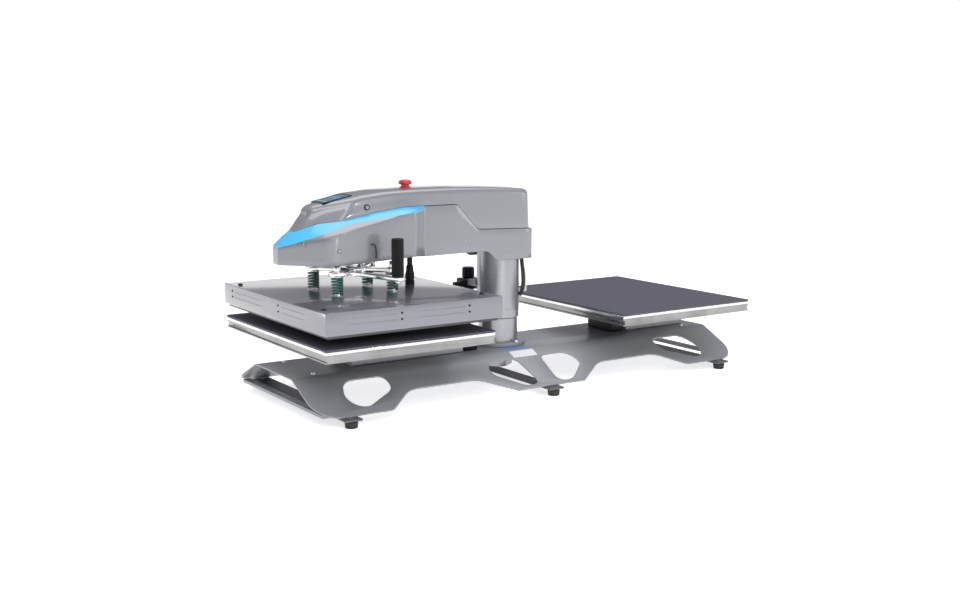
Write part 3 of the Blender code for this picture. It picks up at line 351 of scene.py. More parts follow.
def rounded(corners, segments=12):
    """A closed outline whose corners are (x, y, radius); a radius of 0 stays sharp."""
    points = []
    for index, (x, y, radius) in enumerate(corners):
        if radius == 0.0:
            points.append(Vector((x, y)))
        else:
            points += corner_arc(corners[index - 1][:2], (x, y), corners[(index + 1) % len(corners)][:2],
                                 radius, segments)
    return points


def rounded_panel(low, high, radius, segments=6):
    """A rectangular outline between two corners, with its own corners rounded."""
    return rounded([(low[0], low[1], radius), (high[0], low[1], radius), (high[0], high[1], radius),
                    (low[0], high[1], radius)], segments)


def copy_of(node, rounding, segments=2, angle=35.0):
    """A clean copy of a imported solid: welded, its flat faces made whole, its edges rounded."""
    source = NODES[node]
    thing = source.copy()
    thing.data = source.data.copy()
    thing.parent = None
    for key in [key for key in thing.keys() if key.startswith("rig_")]:
        del thing[key]
    bpy.context.scene.collection.objects.link(thing)
    in_edit(thing, "VERT")
    bpy.ops.mesh.remove_doubles(threshold=0.00001)
    bpy.ops.mesh.customdata_custom_splitnormals_clear()
    bpy.ops.mesh.dissolve_limited(angle_limit=math.radians(0.6))
    out_of_edit()
    if rounding > 0.0:
        eased(thing, rounding, segments, angle)
    return thing


def finish(thing, name, body, look, stands_for=(), smooth=32.0):
    """Name a piece, give it its finish, and hang it on its body."""
    set_down(thing)
    thing.name = name
    thing.data.name = name
    thing.data.materials.clear()
    thing.data.materials.append(look)
    for face in thing.data.polygons:
        face.material_index = 0
    activate(thing)
    bpy.ops.object.shade_smooth_by_angle(angle=math.radians(smooth))
    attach(thing, body)
    if stands_for:
        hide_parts(*stands_for)
    return thing


def dress(node, look, width=0.6 * MM, segments=2):
    """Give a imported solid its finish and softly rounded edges, and leave its mesh alone."""
    solid = NODES[node]
    for place in solid.material_slots:
        place.material = look
    weld = solid.modifiers.new("weld", "WELD")
    weld.merge_threshold = 0.00001
    flat = solid.modifiers.new("whole_faces", "DECIMATE")
    flat.decimate_type = "DISSOLVE"
    flat.angle_limit = math.radians(0.6)
    if width > 0.0:
        rim = solid.modifiers.new("edges", "BEVEL")
        rim.width = width
        rim.segments = segments
        rim.limit_method = "ANGLE"
        rim.angle_limit = math.radians(38)
    return solid


def round_box(node):
    """The low and high corners of an upright round piece, its centre in plan and its radius."""
    low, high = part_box(node)
    middle = (low + high) / 2
    return low, high, (middle.x, middle.y), (high.x - low.x) / 2


# ---------------------------------------------------------------- finishes
def colour_of(name):
    return tuple(getattr(bpy.context.scene.heat_press_colours, name))


def surface(name, colour, roughness, metallic=0.0, coat=0.0, coat_roughness=0.05, tint=0.05,
            tint_scale=14.0, spread=0.05, grain=(900.0, 900.0, 900.0), relief=0.01 * MM, detail=3.0,
            specular=0.5):
    """A finish with a slight drift of colour and gloss, and a fine grain in relief."""
    material = bpy.data.materials.get(name)
    if material:
        return material
    material = bpy.data.materials.new(name)
    material.use_nodes = True
    nodes = material.node_tree.nodes
    links = material.node_tree.links
    shader = nodes["Principled BSDF"]
    shader.inputs["Metallic"].default_value = metallic
    shader.inputs["Coat Weight"].default_value = coat
    shader.inputs["Coat Roughness"].default_value = coat_roughness
    shader.inputs["Specular IOR Level"].default_value = specular
    place = nodes.new("ShaderNodeTexCoord")

    drift = nodes.new("ShaderNodeTexNoise")
    drift.inputs["Scale"].default_value = tint_scale
    drift.inputs["Detail"].default_value = 4.0
    links.new(place.outputs["Object"], drift.inputs["Vector"])
    blend = nodes.new("ShaderNodeMix")
    blend.data_type = "RGBA"
    blend.inputs["A"].default_value = (*[c * (1.0 - tint) for c in colour], 1.0)
    blend.inputs["B"].default_value = (*[min(1.0, c * (1.0 + tint)) for c in colour], 1.0)
    links.new(drift.outputs["Fac"], blend.inputs["Factor"])
    links.new(blend.outputs["Result"], shader.inputs["Base Color"])

    stretch = nodes.new("ShaderNodeMapping")
    stretch.inputs["Scale"].default_value = grain
    links.new(place.outputs["Object"], stretch.inputs["Vector"])
    fine = nodes.new("ShaderNodeTexNoise")
    fine.inputs["Scale"].default_value = 1.0
    fine.inputs["Detail"].default_value = detail
    links.new(stretch.outputs["Vector"], fine.inputs["Vector"])
    gloss = nodes.new("ShaderNodeMapRange")
    gloss.inputs["To Min"].default_value = max(0.02, roughness - spread)
    gloss.inputs["To Max"].default_value = min(1.0, roughness + spread)
    links.new(fine.outputs["Fac"], gloss.inputs["Value"])
    links.new(gloss.outputs["Result"], shader.inputs["Roughness"])
    bump = nodes.new("ShaderNodeBump")
    bump.inputs["Strength"].default_value = 1.0
    bump.inputs["Distance"].default_value = relief
    links.new(fine.outputs["Fac"], bump.inputs["Height"])
    links.new(bump.outputs["Normal"], shader.inputs["Normal"])
    return material


def powder_coat():
    return surface("base_powder_coat", colour_of("base"), 0.42, 0.15, coat=0.15, coat_roughness=0.3,
                   tint=0.04, grain=(1100.0, 1100.0, 1100.0), relief=0.03 * MM)


def grey_paint():
    return surface("grey_paint_satin", (0.34, 0.345, 0.365), 0.38, 0.1, coat=0.2, coat_roughness=0.2,
                   relief=0.02 * MM)


def dark_paint():
    return surface("dark_grey_paint", (0.10, 0.10, 0.108), 0.45, 0.1, coat=0.1, relief=0.02 * MM)


def cover_paint():
    return surface("cover_silver_paint", colour_of("cover"), 0.34, 0.35, coat=0.9, coat_roughness=0.04,
                   tint=0.02, tint_scale=6.0, grain=(1400.0, 1400.0, 1400.0), relief=0.003 * MM, spread=0.04)


def housing_paint():
    return surface("housing_silver_paint", colour_of("housing"), 0.24, 0.35, coat=0.8, coat_roughness=0.05,
                   tint=0.02, tint_scale=5.0, grain=(1400.0, 1400.0, 1400.0), relief=0.0015 * MM, spread=0.03)


def stripe_gloss():
    return surface("stripe_blue_gloss", colour_of("stripe"), 0.28, 0.0, coat=0.6, coat_roughness=0.05,
                   tint=0.015, tint_scale=6.0, grain=(1400.0, 1400.0, 1400.0), relief=0.001 * MM)


def turned_steel():
    return surface("turned_satin_steel", (0.33, 0.335, 0.355), 0.26, 0.7, tint=0.03,
                   grain=(900.0, 900.0, 900.0), relief=0.0008 * MM, spread=0.04, detail=2.0)


def machined_steel():
    return surface("machined_steel", (0.40, 0.40, 0.42), 0.34, 1.0, tint=0.05,
                   grain=(900.0, 900.0, 900.0), relief=0.01 * MM, spread=0.08)


def bright_plate():
    return surface("bright_chrome_plate", (0.82, 0.82, 0.84), 0.10, 1.0, tint=0.015,
                   grain=(160.0, 160.0, 160.0), relief=0.002 * MM, spread=0.03)


def polished_alloy():
    return surface("polished_alloy", (0.55, 0.55, 0.56), 0.19, 1.0, tint=0.02,
                   grain=(14.0, 900.0, 900.0), relief=0.004 * MM, spread=0.06, detail=2.0)


def platen_alloy():
    """Milled alloy with a painted highlight: its colour is made pale above the groove, and stays darker below
    it.
    """
    material = surface("milled_platen_alloy", (0.27, 0.27, 0.265), 0.22, 1.0, tint=0.45, tint_scale=13.0,
                       grain=(9.0, 9.0, 1500.0), relief=0.004 * MM, spread=0.08, detail=2.0)
    nodes = material.node_tree.nodes
    if "lip" in nodes:
        return material
    links = material.node_tree.links
    shader = nodes["Principled BSDF"]
    plain = shader.inputs["Base Color"].links[0].from_socket
    place = nodes.new("ShaderNodeTexCoord")
    split = nodes.new("ShaderNodeSeparateXYZ")
    links.new(place.outputs["Object"], split.inputs["Vector"])
    step = nodes.new("ShaderNodeMapRange")
    step.inputs["From Min"].default_value = PAINTED_HIGHLIGHT_Z - 0.5 * MM
    step.inputs["From Max"].default_value = PAINTED_HIGHLIGHT_Z + 0.5 * MM
    links.new(split.outputs["Z"], step.inputs["Value"])
    # painted highlight: a pale band of colour along the top of each platen's edge
    lip = nodes.new("ShaderNodeMix")
    lip.name = "lip"
    lip.data_type = "RGBA"
    lip.inputs["B"].default_value = (0.74, 0.74, 0.73, 1.0)
    links.new(step.outputs["Result"], lip.inputs["Factor"])
    links.new(plain, lip.inputs["A"])
    links.new(lip.outputs["Result"], shader.inputs["Base Color"])
    return material


def satin_alloy():
    return surface("satin_alloy", (0.45, 0.455, 0.47), 0.36, 1.0, grain=(900.0, 900.0, 30.0),
                   relief=0.005 * MM)


def coated_alloy():
    return surface("non_stick_coat", (0.055, 0.055, 0.058), 0.5, 0.0, tint=0.12, tint_scale=40.0,
                   grain=(1500.0, 1500.0, 1500.0), relief=0.03 * MM)


def bearing_bronze():
    return surface("bearing_bronze", (0.55, 0.36, 0.17), 0.4, 1.0, tint=0.12, tint_scale=60.0)


def silicone():
    return surface("silicone_foam", colour_of("pad"), 0.62, 0.0, tint=0.06, tint_scale=30.0,
                   grain=(1300.0, 1300.0, 1300.0), relief=0.06 * MM, spread=0.06, detail=5.0, specular=0.4)


def rubber():
    return surface("black_rubber", (0.010, 0.010, 0.011), 0.55, 0.0, tint=0.15, tint_scale=50.0,
                   relief=0.03 * MM, specular=0.25)


def black_plastic():
    return surface("black_moulded_plastic", (0.006, 0.006, 0.007), 0.34, 0.0, tint=0.1,
                   grain=(1500.0, 1500.0, 1500.0), relief=0.01 * MM, spread=0.06, specular=0.22)


def white_plastic():
    return surface("milky_plastic", (0.56, 0.58, 0.60), 0.3, 0.0, tint=0.02, relief=0.006 * MM)


def button_red():
    return surface("stop_button_red", colour_of("button"), 0.26, 0.0, coat=0.3, tint=0.03,
                   grain=(500.0, 500.0, 500.0), relief=0.004 * MM)


def spring_enamel():
    return surface("spring_green_enamel", colour_of("spring"), 0.28, 0.0, coat=0.4, coat_roughness=0.1,
                   tint=0.06, relief=0.02 * MM)


def display_glass():
    return surface("display_glass", (0.010, 0.045, 0.075), 0.08, 0.0, coat=1.0, coat_roughness=0.02,
                   tint=0.25, tint_scale=22.0, spread=0.02, relief=0.001 * MM)


def display_key(name, colour):
    return surface(name, colour, 0.2, 0.0, coat=0.8, tint=0.04, relief=0.001 * MM)


def label_film(name, colour):
    return surface(name, colour, 0.35, 0.0, coat=0.3, coat_roughness=0.15, tint=0.03,
                   grain=(700.0, 700.0, 700.0), relief=0.006 * MM)


# ---------------------------------------------------------------- base
def screw_head(radius, height, socket, direction, place):
    """A button-head screw with a hexagon socket, made round the origin and stood on its place."""
    head = turned([(radius, 0.0), (radius, height * 0.35), (radius * 0.88, height * 0.78),
                   (radius * 0.6, height)], vertices=28)
    key = turned([(socket, height * 0.4), (socket, height * 2.0)], vertices=6)
    cut(head, key)
    return aim(head, place, direction)


def base_outlines():
    """Plan outlines of one quarter of the base sheet's cut-outs."""
    outside = BASE_FOOT_HALF_WIDTH + 40 * MM
    centre_hole = [(34 * MM, 120 * MM, 18 * MM), (110 * MM, 120 * MM, 33 * MM),
                   (128 * MM, 158 * MM, 25 * MM), (62 * MM, 211 * MM, 42 * MM),
                   (24 * MM, 206 * MM, 19 * MM)]
    end_hole = [(378 * MM, 117 * MM, 16 * MM), (474 * MM, 117 * MM, 34 * MM),
                (496 * MM, 170 * MM, 36 * MM), (466 * MM, 206 * MM, 29 * MM),
                (374 * MM, 158 * MM, 33 * MM)]
    arch = [(105 * MM, outside, 0.0), (75 * MM, 229 * MM, 0.0), (170 * MM, 168 * MM, 70 * MM),
            (342 * MM, 168 * MM, 60 * MM), (404 * MM, 215 * MM, 18 * MM), (444 * MM, 229 * MM, 0.0),
            (444 * MM, outside, 0.0)]
    radius = 58 * MM
    edge_x = BASE_HALF_LENGTH + 20 * MM
    corner = [(BASE_HALF_LENGTH, BASE_FOOT_HALF_WIDTH - radius, 0.0)]
    for step in range(1, 17):
        angle = math.pi / 2 * step / 16
        corner.append((BASE_HALF_LENGTH - radius * (1 - math.cos(angle)),
                       BASE_FOOT_HALF_WIDTH - radius * (1 - math.sin(angle)), 0.0))
    corner += [(BASE_HALF_LENGTH - radius, outside, 0.0), (edge_x, outside, 0.0),
               (edge_x, BASE_FOOT_HALF_WIDTH - radius, 0.0)]
    return [centre_hole, end_hole, arch, corner]


class HEATPRESS_OT_base(bpy.types.Operator):
    """Fold and pierce the base sheet, and add its bars, feet, screws and plain labels"""
    bl_idname = "heatpress.base"
    bl_label = "Base"

    def execute(self, context):
        sizes = context.scene.heat_press_sizes
        bpy.ops.object.select_all(action="DESELECT")
        bpy.ops.mesh.primitive_grid_add(x_subdivisions=1, y_subdivisions=3, size=1.0)
        sheet = context.object
        section = [(-BASE_FOOT_HALF_WIDTH, BASE_FOOT_Z), (-BASE_TOP_HALF_WIDTH, BASE_TOP_Z),
                   (BASE_TOP_HALF_WIDTH, BASE_TOP_Z), (BASE_FOOT_HALF_WIDTH, BASE_FOOT_Z)]
        corners = [(x, y, z) for y, z in section for x in (-BASE_HALF_LENGTH, BASE_HALF_LENGTH)]
        if len(sheet.data.vertices) != len(corners):
            raise RuntimeError("the base sheet's grid has the wrong number of corners")
        for vert, place in zip(sheet.data.vertices, corners):
            vert.co = place
        eased(sheet, 6 * MM, 5, 20.0)
        shaped(sheet, "SOLIDIFY", thickness=BASE_SHEET, offset=-1.0, use_even_offset=True)
        outward(sheet)
        for side_x in (-1, 1):
            for side_y in (-1, 1):
                for outline in base_outlines():
                    plan = [(side_x * point.x, side_y * point.y) for point in rounded(outline)]
                    cut(sheet, prism(plan, 0.0, BASE_TOP_Z + 20 * MM))
        bore = turned([(27.3 * MM, 60 * MM), (27.3 * MM, 110 * MM)])
        cut(sheet, bore)
        eased(sheet, sizes.edge, 2, 40.0)
        finish(sheet, "base_sheet", "stand", powder_coat(), ["base_frame"])
        for name, side in SIDES:
            x = side * (BASE_HALF_LENGTH - 24 * MM)
            bar = block((x - 9 * MM, -200 * MM, 20.2 * MM), (x + 9 * MM, 200 * MM, 28 * MM), 1.2 * MM)
            finish(bar, "end_bar_" + name, "stand", powder_coat())
        for name in ("left", "centre", "right"):
            dress("cross_bar_" + name, dark_paint(), 1.0 * MM)
            for end, _ in ENDS:
                node = "foot_" + name + "_" + end
                _, high, centre, radius = round_box(node)
                top = high.z
                foot = turned([(radius * 0.82, 0.0), (radius * 0.9, 0.8 * MM), (radius * 0.93, 3 * MM),
                               (radius * 0.86, 3.6 * MM), (radius * 0.86, 4.6 * MM),
                               (radius * 0.95, 5.2 * MM),
                               (radius * 0.98, top - 4.5 * MM), (radius, top - 4 * MM),
                               (radius * 0.97, top - 2 * MM), (radius * 0.86, top - 0.3 * MM),
                               (radius * 0.8, top)], centre, 40)
                finish(foot, "rubber_" + node, "stand", rubber(), [node])
                if name != "centre":
                    stud = turned([(5 * MM, top + 0.2 * MM), (5 * MM, top + 5.8 * MM)], centre, 24)
                    eased(stud, 0.4 * MM, 1)
                    finish(stud, "stud_" + name + "_" + end, "stand", machined_steel())
        self.screws_and_labels()
        return {"FINISHED"}

    def screws_and_labels(self):
        for name, side in SIDES:
            for end, row in ENDS:
                place = (side * 519 * MM, row * 73 * MM, BASE_TOP_Z)
                head = screw_head(5 * MM, 3 * MM, 2 * MM, (0, 0, 1), place)
                finish(head, "base_screw_" + name + "_" + end, "stand", bright_plate())
        tag = prism(rounded_panel((-45 * MM, -88 * MM), (33 * MM, -66 * MM), 3 * MM),
                    BASE_TOP_Z + 0.02 * MM, BASE_TOP_Z + 0.35 * MM)
        finish(tag, "blue_label", "stand", label_film("blue_label_film", colour_of("label")))
        slope = math.atan2(BASE_TOP_Z - BASE_FOOT_Z, BASE_FOOT_HALF_WIDTH - BASE_TOP_HALF_WIDTH)
        patch = prism(rounded_panel((-36 * MM, -12 * MM), (30 * MM, 12 * MM), 2 * MM),
                      0.02 * MM, 0.3 * MM)
        down = 18 * MM
        patch.rotation_euler = (slope, 0.0, 0.0)
        patch.location = (0.0, -BASE_TOP_HALF_WIDTH - down * math.cos(slope),
                          BASE_TOP_Z - down * math.sin(slope))
        finish(patch, "white_sticker", "stand",
               label_film("white_sticker_film", (0.75, 0.76, 0.80)))


# ---------------------------------------------------------------- stations
class HEATPRESS_OT_stations(bpy.types.Operator):
    """Lower platens on their pedestals, each with its silicone pad"""
    bl_idname = "heatpress.stations"
    bl_label = "Lower stations"

    def execute(self, context):
        sizes = context.scene.heat_press_sizes
        for name, _ in SIDES:
            dress("pedestal_" + name, grey_paint(), 1.2 * MM)
            # The clamp blocks are black plastic, and their black also paints the shade in the gap under each
            # platen.
            dress("clamp_block_" + name, black_plastic(), 1.2 * MM)
            platen = copy_of("lower_platen_" + name, sizes.machined_edge, 3)
            finish(platen, "milled_platen_" + name, "stand", platen_alloy(),
                   ["lower_platen_" + name])
            self.pad(name, sizes)
        return {"FINISHED"}

    def pad(self, name, sizes):
        low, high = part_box("pad_" + name)
        top = high.z - sizes.pad_crown
        pad = prism(rounded_panel(low, high, sizes.pad_corner, 8), low.z, top)
        eased(pad, 1.0 * MM, 4, 50.0)
        in_edit(pad)
        choose_faces(pad, lambda place, normal: normal.z > 0.99 and place.z > top - 0.1 * MM)
        centre = ((low.x + high.x) / 2, (low.y + high.y) / 2, top)
        for share, rise in ((0.995, 0.1), (0.97, 0.3), (0.90, 0.35), (0.75, 0.2), (0.4, 0.05)):
            drawn_up(sizes.pad_crown * rise)
            bpy.ops.transform.resize(value=(share, share, 1.0), center_override=centre)
        out_of_edit()
        finish(outward(pad), "silicone_pad_" + name, "stand", silicone(), ["pad_" + name], 40.0)


# ---------------------------------------------------------------- column
class HEATPRESS_OT_column(bpy.types.Operator):
    """The post and its flange, and the sleeve that turns on it"""
    bl_idname = "heatpress.column"
    bl_label = "Column"

    def execute(self, context):
        low, high, _, radius = round_box("column_post")
        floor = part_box("column_flange")[0].z
        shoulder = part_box("swing_sleeve")[0].z - 0.5 * MM
        shaft = 27 * MM
        post = turned([(shaft - 0.4 * MM, low.z), (shaft - 0.4 * MM, floor), (radius, floor),
                       (radius, shoulder - 1 * MM), (radius - 1 * MM, shoulder), (shaft, shoulder),
                       (shaft, high.z - 3 * MM), (shaft - 3 * MM, high.z)], vertices=72)
        finish(post, "turned_post", "stand", turned_steel(), ["column_post"])
        self.sleeve()
        self.flange()
        nut = copy_of("column_nut", 1.0 * MM)
        finish(nut, "under_nut", "stand", machined_steel(), ["column_nut"])
        for node in ("bushing_lower", "bushing_upper"):
            dress(node, bearing_bronze(), 0.4 * MM, 1)
        return {"FINISHED"}

    def sleeve(self):
        low, high, _, radius = round_box("swing_sleeve")
        bore = 33 * MM
        groove = low.z + 20 * MM
        profile = [(bore, low.z), (radius - 1.2 * MM, low.z), (radius, low.z + 1.2 * MM),
                   (radius, groove), (radius - 0.5 * MM, groove + 0.4 * MM),
                   (radius - 0.5 * MM, groove + 1.4 * MM), (radius, groove + 1.8 * MM),
                   (radius, high.z - 0.8 * MM), (radius - 0.8 * MM, high.z), (bore, high.z)]
        sleeve = hoop(profile, steps=72)
        finish(sleeve, "turned_sleeve", "swing_head", turned_steel(), ["swing_sleeve"])

    def flange(self):
        low, high, _, radius = round_box("column_flange")
        bore = 46.8 * MM
        flange = hoop([(bore, low.z), (radius - 0.6 * MM, low.z), (radius, low.z + 0.6 * MM),
                       (radius, high.z - 1.4 * MM), (radius - 1.4 * MM, high.z), (bore, high.z)], steps=72)
        finish(flange, "turned_flange", "stand", powder_coat(), ["column_flange"])
        for index in range(4):
            angle = math.radians(15 + 90 * index)
            reach = (radius + bore) / 2 + 0.5 * MM
            place = (reach * math.cos(angle), reach * math.sin(angle), high.z)
            bolt = turned([(5.0 * MM, 0.0), (5.0 * MM, 3.6 * MM), (4.4 * MM, 4.2 * MM)], vertices=32)
            cut(bolt, turned([(2.4 * MM, 1.8 * MM), (2.4 * MM, 9 * MM)], vertices=6))
            aim(bolt, place, (0, 0, 1))
            finish(bolt, "flange_bolt_%d" % index, "stand", bright_plate())


# ---------------------------------------------------------------- head covers
COVER_RUNS = (5, 46, 3, 26, 10, 5)
COVER_ARC = 8


def head_outline(rear, half, nose, pod, blunt, tip_radius, bow_radius, shrink=0.0):
    """Half of a head outline in plan, from its rear end round to the nose, always with as many points."""
    half -= shrink
    pod -= shrink
    nose += shrink
    corners = [(rear - shrink, 0.0), (rear - shrink, half), (ARM_FRONT_X, half),
               (POD_REAR_X, half + (pod - half) * 0.7), (nose + 84 * MM, pod),
               (nose, blunt - shrink / 2), (nose, 0.0)]
    radii = (25 * MM - shrink, 14 * MM, 14 * MM, bow_radius, tip_radius - shrink / 2)
    points = [Vector(corners[0])]
    for index, radius in enumerate(radii):
        arc = corner_arc(corners[index], corners[index + 1], corners[index + 2], radius, COVER_ARC)
        points += run_between(points.pop(), arc[0], COVER_RUNS[index]) + arc
    points += run_between(points.pop(), Vector(corners[-1]), COVER_RUNS[-1]) + [Vector(corners[-1])]
    return points


def run_between(start, end, steps):
    return [start.lerp(end, step / steps) for step in range(steps)]


def height_at(profile, x, ease):
    """Height of a side profile at x, with its corners eased over a short reach."""
    def plain(at):
        if at <= profile[0][0]:
            return profile[0][1]
        for (x0, z0), (x1, z1) in zip(profile, profile[1:]):
            if at <= x1:
                return z0 + (z1 - z0) * (at - x0) / (x1 - x0)
        return profile[-1][1]
    millimetres = x / MM
    weights = (1, 2, 3, 2, 1)
    total = sum(weight * plain(millimetres + ease * (step - 2) / 2) for step, weight in enumerate(weights))
    return total / sum(weights) * MM


def drawn_in(outline, distance):
    """A half outline moved inwards along its own normals."""
    moved = []
    last = len(outline) - 1
    for index, point in enumerate(outline):
        run = (outline[min(index + 1, last)] - outline[max(index - 1, 0)]).normalized()
        if index == 0:
            run = Vector((0.0, 1.0))
        if index == last:
            run = Vector((0.0, -1.0))
        moved.append(point + Vector((-run.y, run.x)) * distance)
    return moved


def at_height(outline, profile, ease, lift=0.0):
    return [(point.x, point.y, height_at(profile, point.x, ease) + lift) for point in outline]


def ring_sheet(rings):
    """One side of a cover: a grid whose rows are laid on rings from the bottom up."""
    bpy.ops.object.select_all(action="DESELECT")
    bpy.ops.mesh.primitive_grid_add(x_subdivisions=len(rings[0]) - 1, y_subdivisions=len(rings) - 1, size=1.0)
    sheet = bpy.context.object
    places = [place for ring in rings for place in ring]
    if len(places) != len(sheet.data.vertices):
        raise RuntimeError("a cover's grid doesn't match its rings")
    for vert, place in zip(sheet.data.vertices, places):
        vert.co = place
    return sheet


def shell(sheet, wall):
    """Mirror one side of a cover, turn it outwards and give it its wall."""
    shaped(sheet, "MIRROR", use_axis=(False, True, False), merge_threshold=0.00002)
    in_edit(sheet)
    bpy.ops.mesh.remove_doubles(threshold=0.000005)
    bpy.ops.mesh.normals_make_consistent(inside=False)
    out_of_edit()
    probe = max(sheet.data.polygons, key=lambda face: face.center.y)
    if probe.normal.y < 0.0:
        in_edit(sheet)
        bpy.ops.mesh.flip_normals()
        out_of_edit()
    return shaped(sheet, "SOLIDIFY", thickness=wall, offset=-1.0, use_even_offset=True)


def lower_plan():
    return head_outline(HEAD_REAR_X, ARM_HALF_WIDTH, NOSE_X, POD_HALF_WIDTH, 14 * MM, 16 * MM, 60 * MM)


def cabin_plan():
    return head_outline(HEAD_REAR_X - 8 * MM, ARM_HALF_WIDTH - 2 * MM, NOSE_X + 38 * MM,
                        ARM_HALF_WIDTH + 3 * MM, 16 * MM, 20 * MM, 50 * MM)


def shoulder_plan(shrink):
    return head_outline(HEAD_REAR_X - 10 * MM, ARM_HALF_WIDTH - 4 * MM, NOSE_X + 66 * MM,
                        ARM_HALF_WIDTH - 4 * MM, 20 * MM, 18 * MM, 40 * MM, shrink)


# The silver shoulder's share of the ledge's width along the pod: (x in millimetres, thousandths)
SHOULDER = [(-526, 10), (-497, 260), (-468, 500), (-440, 520), (-401, 380), (-348, 180), (-312, 10)]


def shoulder_share(x):
    """How much of the ledge's width the silver shoulder takes at x."""
    return height_at(SHOULDER, x, 16)


def skirt_drop(x):
    """How far the stripe's lower edge wraps down the wall at x: a blunt end behind, nothing in front."""
    along = min(1.0, max(0.0, (x + 316 * MM) / (62 * MM)))
    return (0.3 + 8.0 * along * along * (3 - 2 * along)) * MM


class HEATPRESS_OT_covers(bpy.types.Operator):
    """The moulded covers of the swinging head and the blue stripe round its pod"""
    bl_idname = "heatpress.covers"
    bl_label = "Head covers"

    def execute(self, context):
        sizes = context.scene.heat_press_sizes
        self.lower(sizes)
        self.stripe()
        self.upper(sizes)
        self.fittings()
        return {"FINISHED"}

    def lower(self, sizes):
        plan = lower_plan()
        rings = [at_height(drawn_in(plan, 1.8 * MM), SKIRT, 6),
                 at_height(drawn_in(plan, 0.6 * MM), SKIRT, 6, 0.6 * MM),
                 at_height(plan, SKIRT, 6, 2.2 * MM)]
        low = at_height(plan, SKIRT, 6)
        high = at_height(plan, BELT, 4, -PARTING_GAP / 2)
        for share in (0.25, 0.5, 0.75):
            rings.append([(a[0], a[1], a[2] + (b[2] - a[2]) * share) for a, b in zip(low, high)])
        rings.append([(x, y, z - 1.8 * MM) for x, y, z in high])
        rings.append(at_height(drawn_in(plan, 0.5 * MM), BELT, 4, -PARTING_GAP / 2 - 0.5 * MM))
        rings.append(at_height(drawn_in(plan, 1.6 * MM), BELT, 4, -PARTING_GAP / 2))
        rings.append(at_height(drawn_in(plan, 5.0 * MM), BELT, 4, -PARTING_GAP / 2))
        cover = shell(ring_sheet(rings), sizes.cover_wall)
        finish(cover, "moulded_lower_cover", "swing_head", cover_paint(), ["lower_cover"])

    def stripe(self):
        """The sloping ledge between cover and cabin: blue trim above a silver shoulder along the pod."""
        low = at_height(drawn_in(lower_plan(), 0.3 * MM), BELT, 4, PARTING_GAP / 2)
        high = at_height(cabin_plan(), LEDGE, 4, -PARTING_GAP / 2)

        def across(share, proud):
            return [(a[0] + (b[0] - a[0]) * share(a[0]), a[1] + (b[1] - a[1]) * share(a[0]),
                     a[2] + (b[2] - a[2]) * share(a[0]) + proud * MM) for a, b in zip(low, high)]

        wrap = [(place.x, place.y, z - skirt_drop(place.x)) for place, (_, _, z)
                in zip(drawn_in(lower_plan(), -0.3 * MM), low)]
        sunk = across(shoulder_share, -0.6)
        rings = [[buried if shoulder_share(buried[0]) > 0.02 else edge
                  for buried, edge in zip(sunk, wrap)]]
        for part, proud in ((0.0, 0.1), (0.06, 0.5), (0.3, 0.9), (0.6, 1.0), (0.85, 0.6), (1.0, 0.0)):
            rings.append(across(lambda x: part + (1 - part) * (shoulder_share(x) - 0.01), proud))
        trim = shell(self.trimmed(ring_sheet(rings), STRIPE_END_X), 1.2 * MM)
        finish(trim, "blue_stripe", "swing_head", stripe_gloss(), ["accent_stripe"])
        under = [(place.x, place.y, z - (0.2 + min(1.2, 6 * shoulder_share(place.x))) * MM)
                 for place, (_, _, z) in zip(drawn_in(lower_plan(), -0.5 * MM), low)]
        rings = [under]
        for part, proud in ((0.04, 0.7), (0.35, 1.2), (0.7, 1.4), (0.96, 1.5), (1.0, 1.0)):
            rings.append(across(lambda x: part * shoulder_share(x), proud))
        sheet = self.trimmed(ring_sheet(rings), SHOULDER[-1][0] * MM)
        self.trimmed(sheet, SHOULDER[0][0] * MM, -1.0)
        finish(shell(sheet, 0.8 * MM), "silver_shoulder", "swing_head", cover_paint())

    def trimmed(self, sheet, x, facing=1.0):
        """Cut a side sheet off at a plane across the head: behind it, or before it where facing is -1."""
        in_edit(sheet)
        bpy.ops.mesh.bisect(plane_co=(x, 0.0, 0.0), plane_no=(facing, 0.0, 0.0), use_fill=False,
                            clear_outer=True)
        out_of_edit()
        return sheet

    def upper(self, sizes):
        foot = cabin_plan()
        radius = sizes.shoulder
        rings = [at_height(drawn_in(foot, 0.6 * MM), LEDGE, 4, -PARTING_GAP * 0.3),
                 at_height(drawn_in(foot, 0.1 * MM), LEDGE, 4, PARTING_GAP * 0.3)]
        base = at_height(foot, LEDGE, 4, PARTING_GAP)
        edge = at_height(shoulder_plan(0.0), ROOF, 12, -radius)
        for share in (0.0, 0.3, 0.65):
            rings.append([tuple(p + (q - p) * share for p, q in zip(a, b)) for a, b in zip(base, edge)])
        for step in range(8):
            turn = math.pi / 2 * step / 7
            near = shoulder_plan(radius * (1 - math.cos(turn)))
            rings.append(at_height(near, ROOF, 12, -radius * (1 - math.sin(turn))))
        rim = rings[-1]
        lengths = [0.0]
        for first, second in zip(foot, foot[1:]):
            lengths.append(lengths[-1] + (second - first).length)
        rear_x = rim[0][0] - 24 * MM
        front_x = rim[-1][0] + 24 * MM
        spine = [rear_x + (front_x - rear_x) * length / lengths[-1] for length in lengths]
        for share in (0.2, 0.45, 0.75, 1.0):
            crown = 1.2 * MM * (1 - (1 - share) ** 2)
            ring = []
            for place, x in zip(rim, spine):
                at = place[0] + (x - place[0]) * share
                ring.append((at, place[1] * (1 - share), height_at(ROOF, at, 12) + crown))
            rings.append(ring)
        cover = shell(ring_sheet(rings), sizes.cover_wall)
        neck = turned([(11.4 * MM, 430 * MM), (11.4 * MM, 480 * MM)], (-250 * MM, 0.0))
        cut(cover, neck)
        finish(cover, "moulded_upper_cover", "swing_head", cover_paint(), ["upper_cover"])

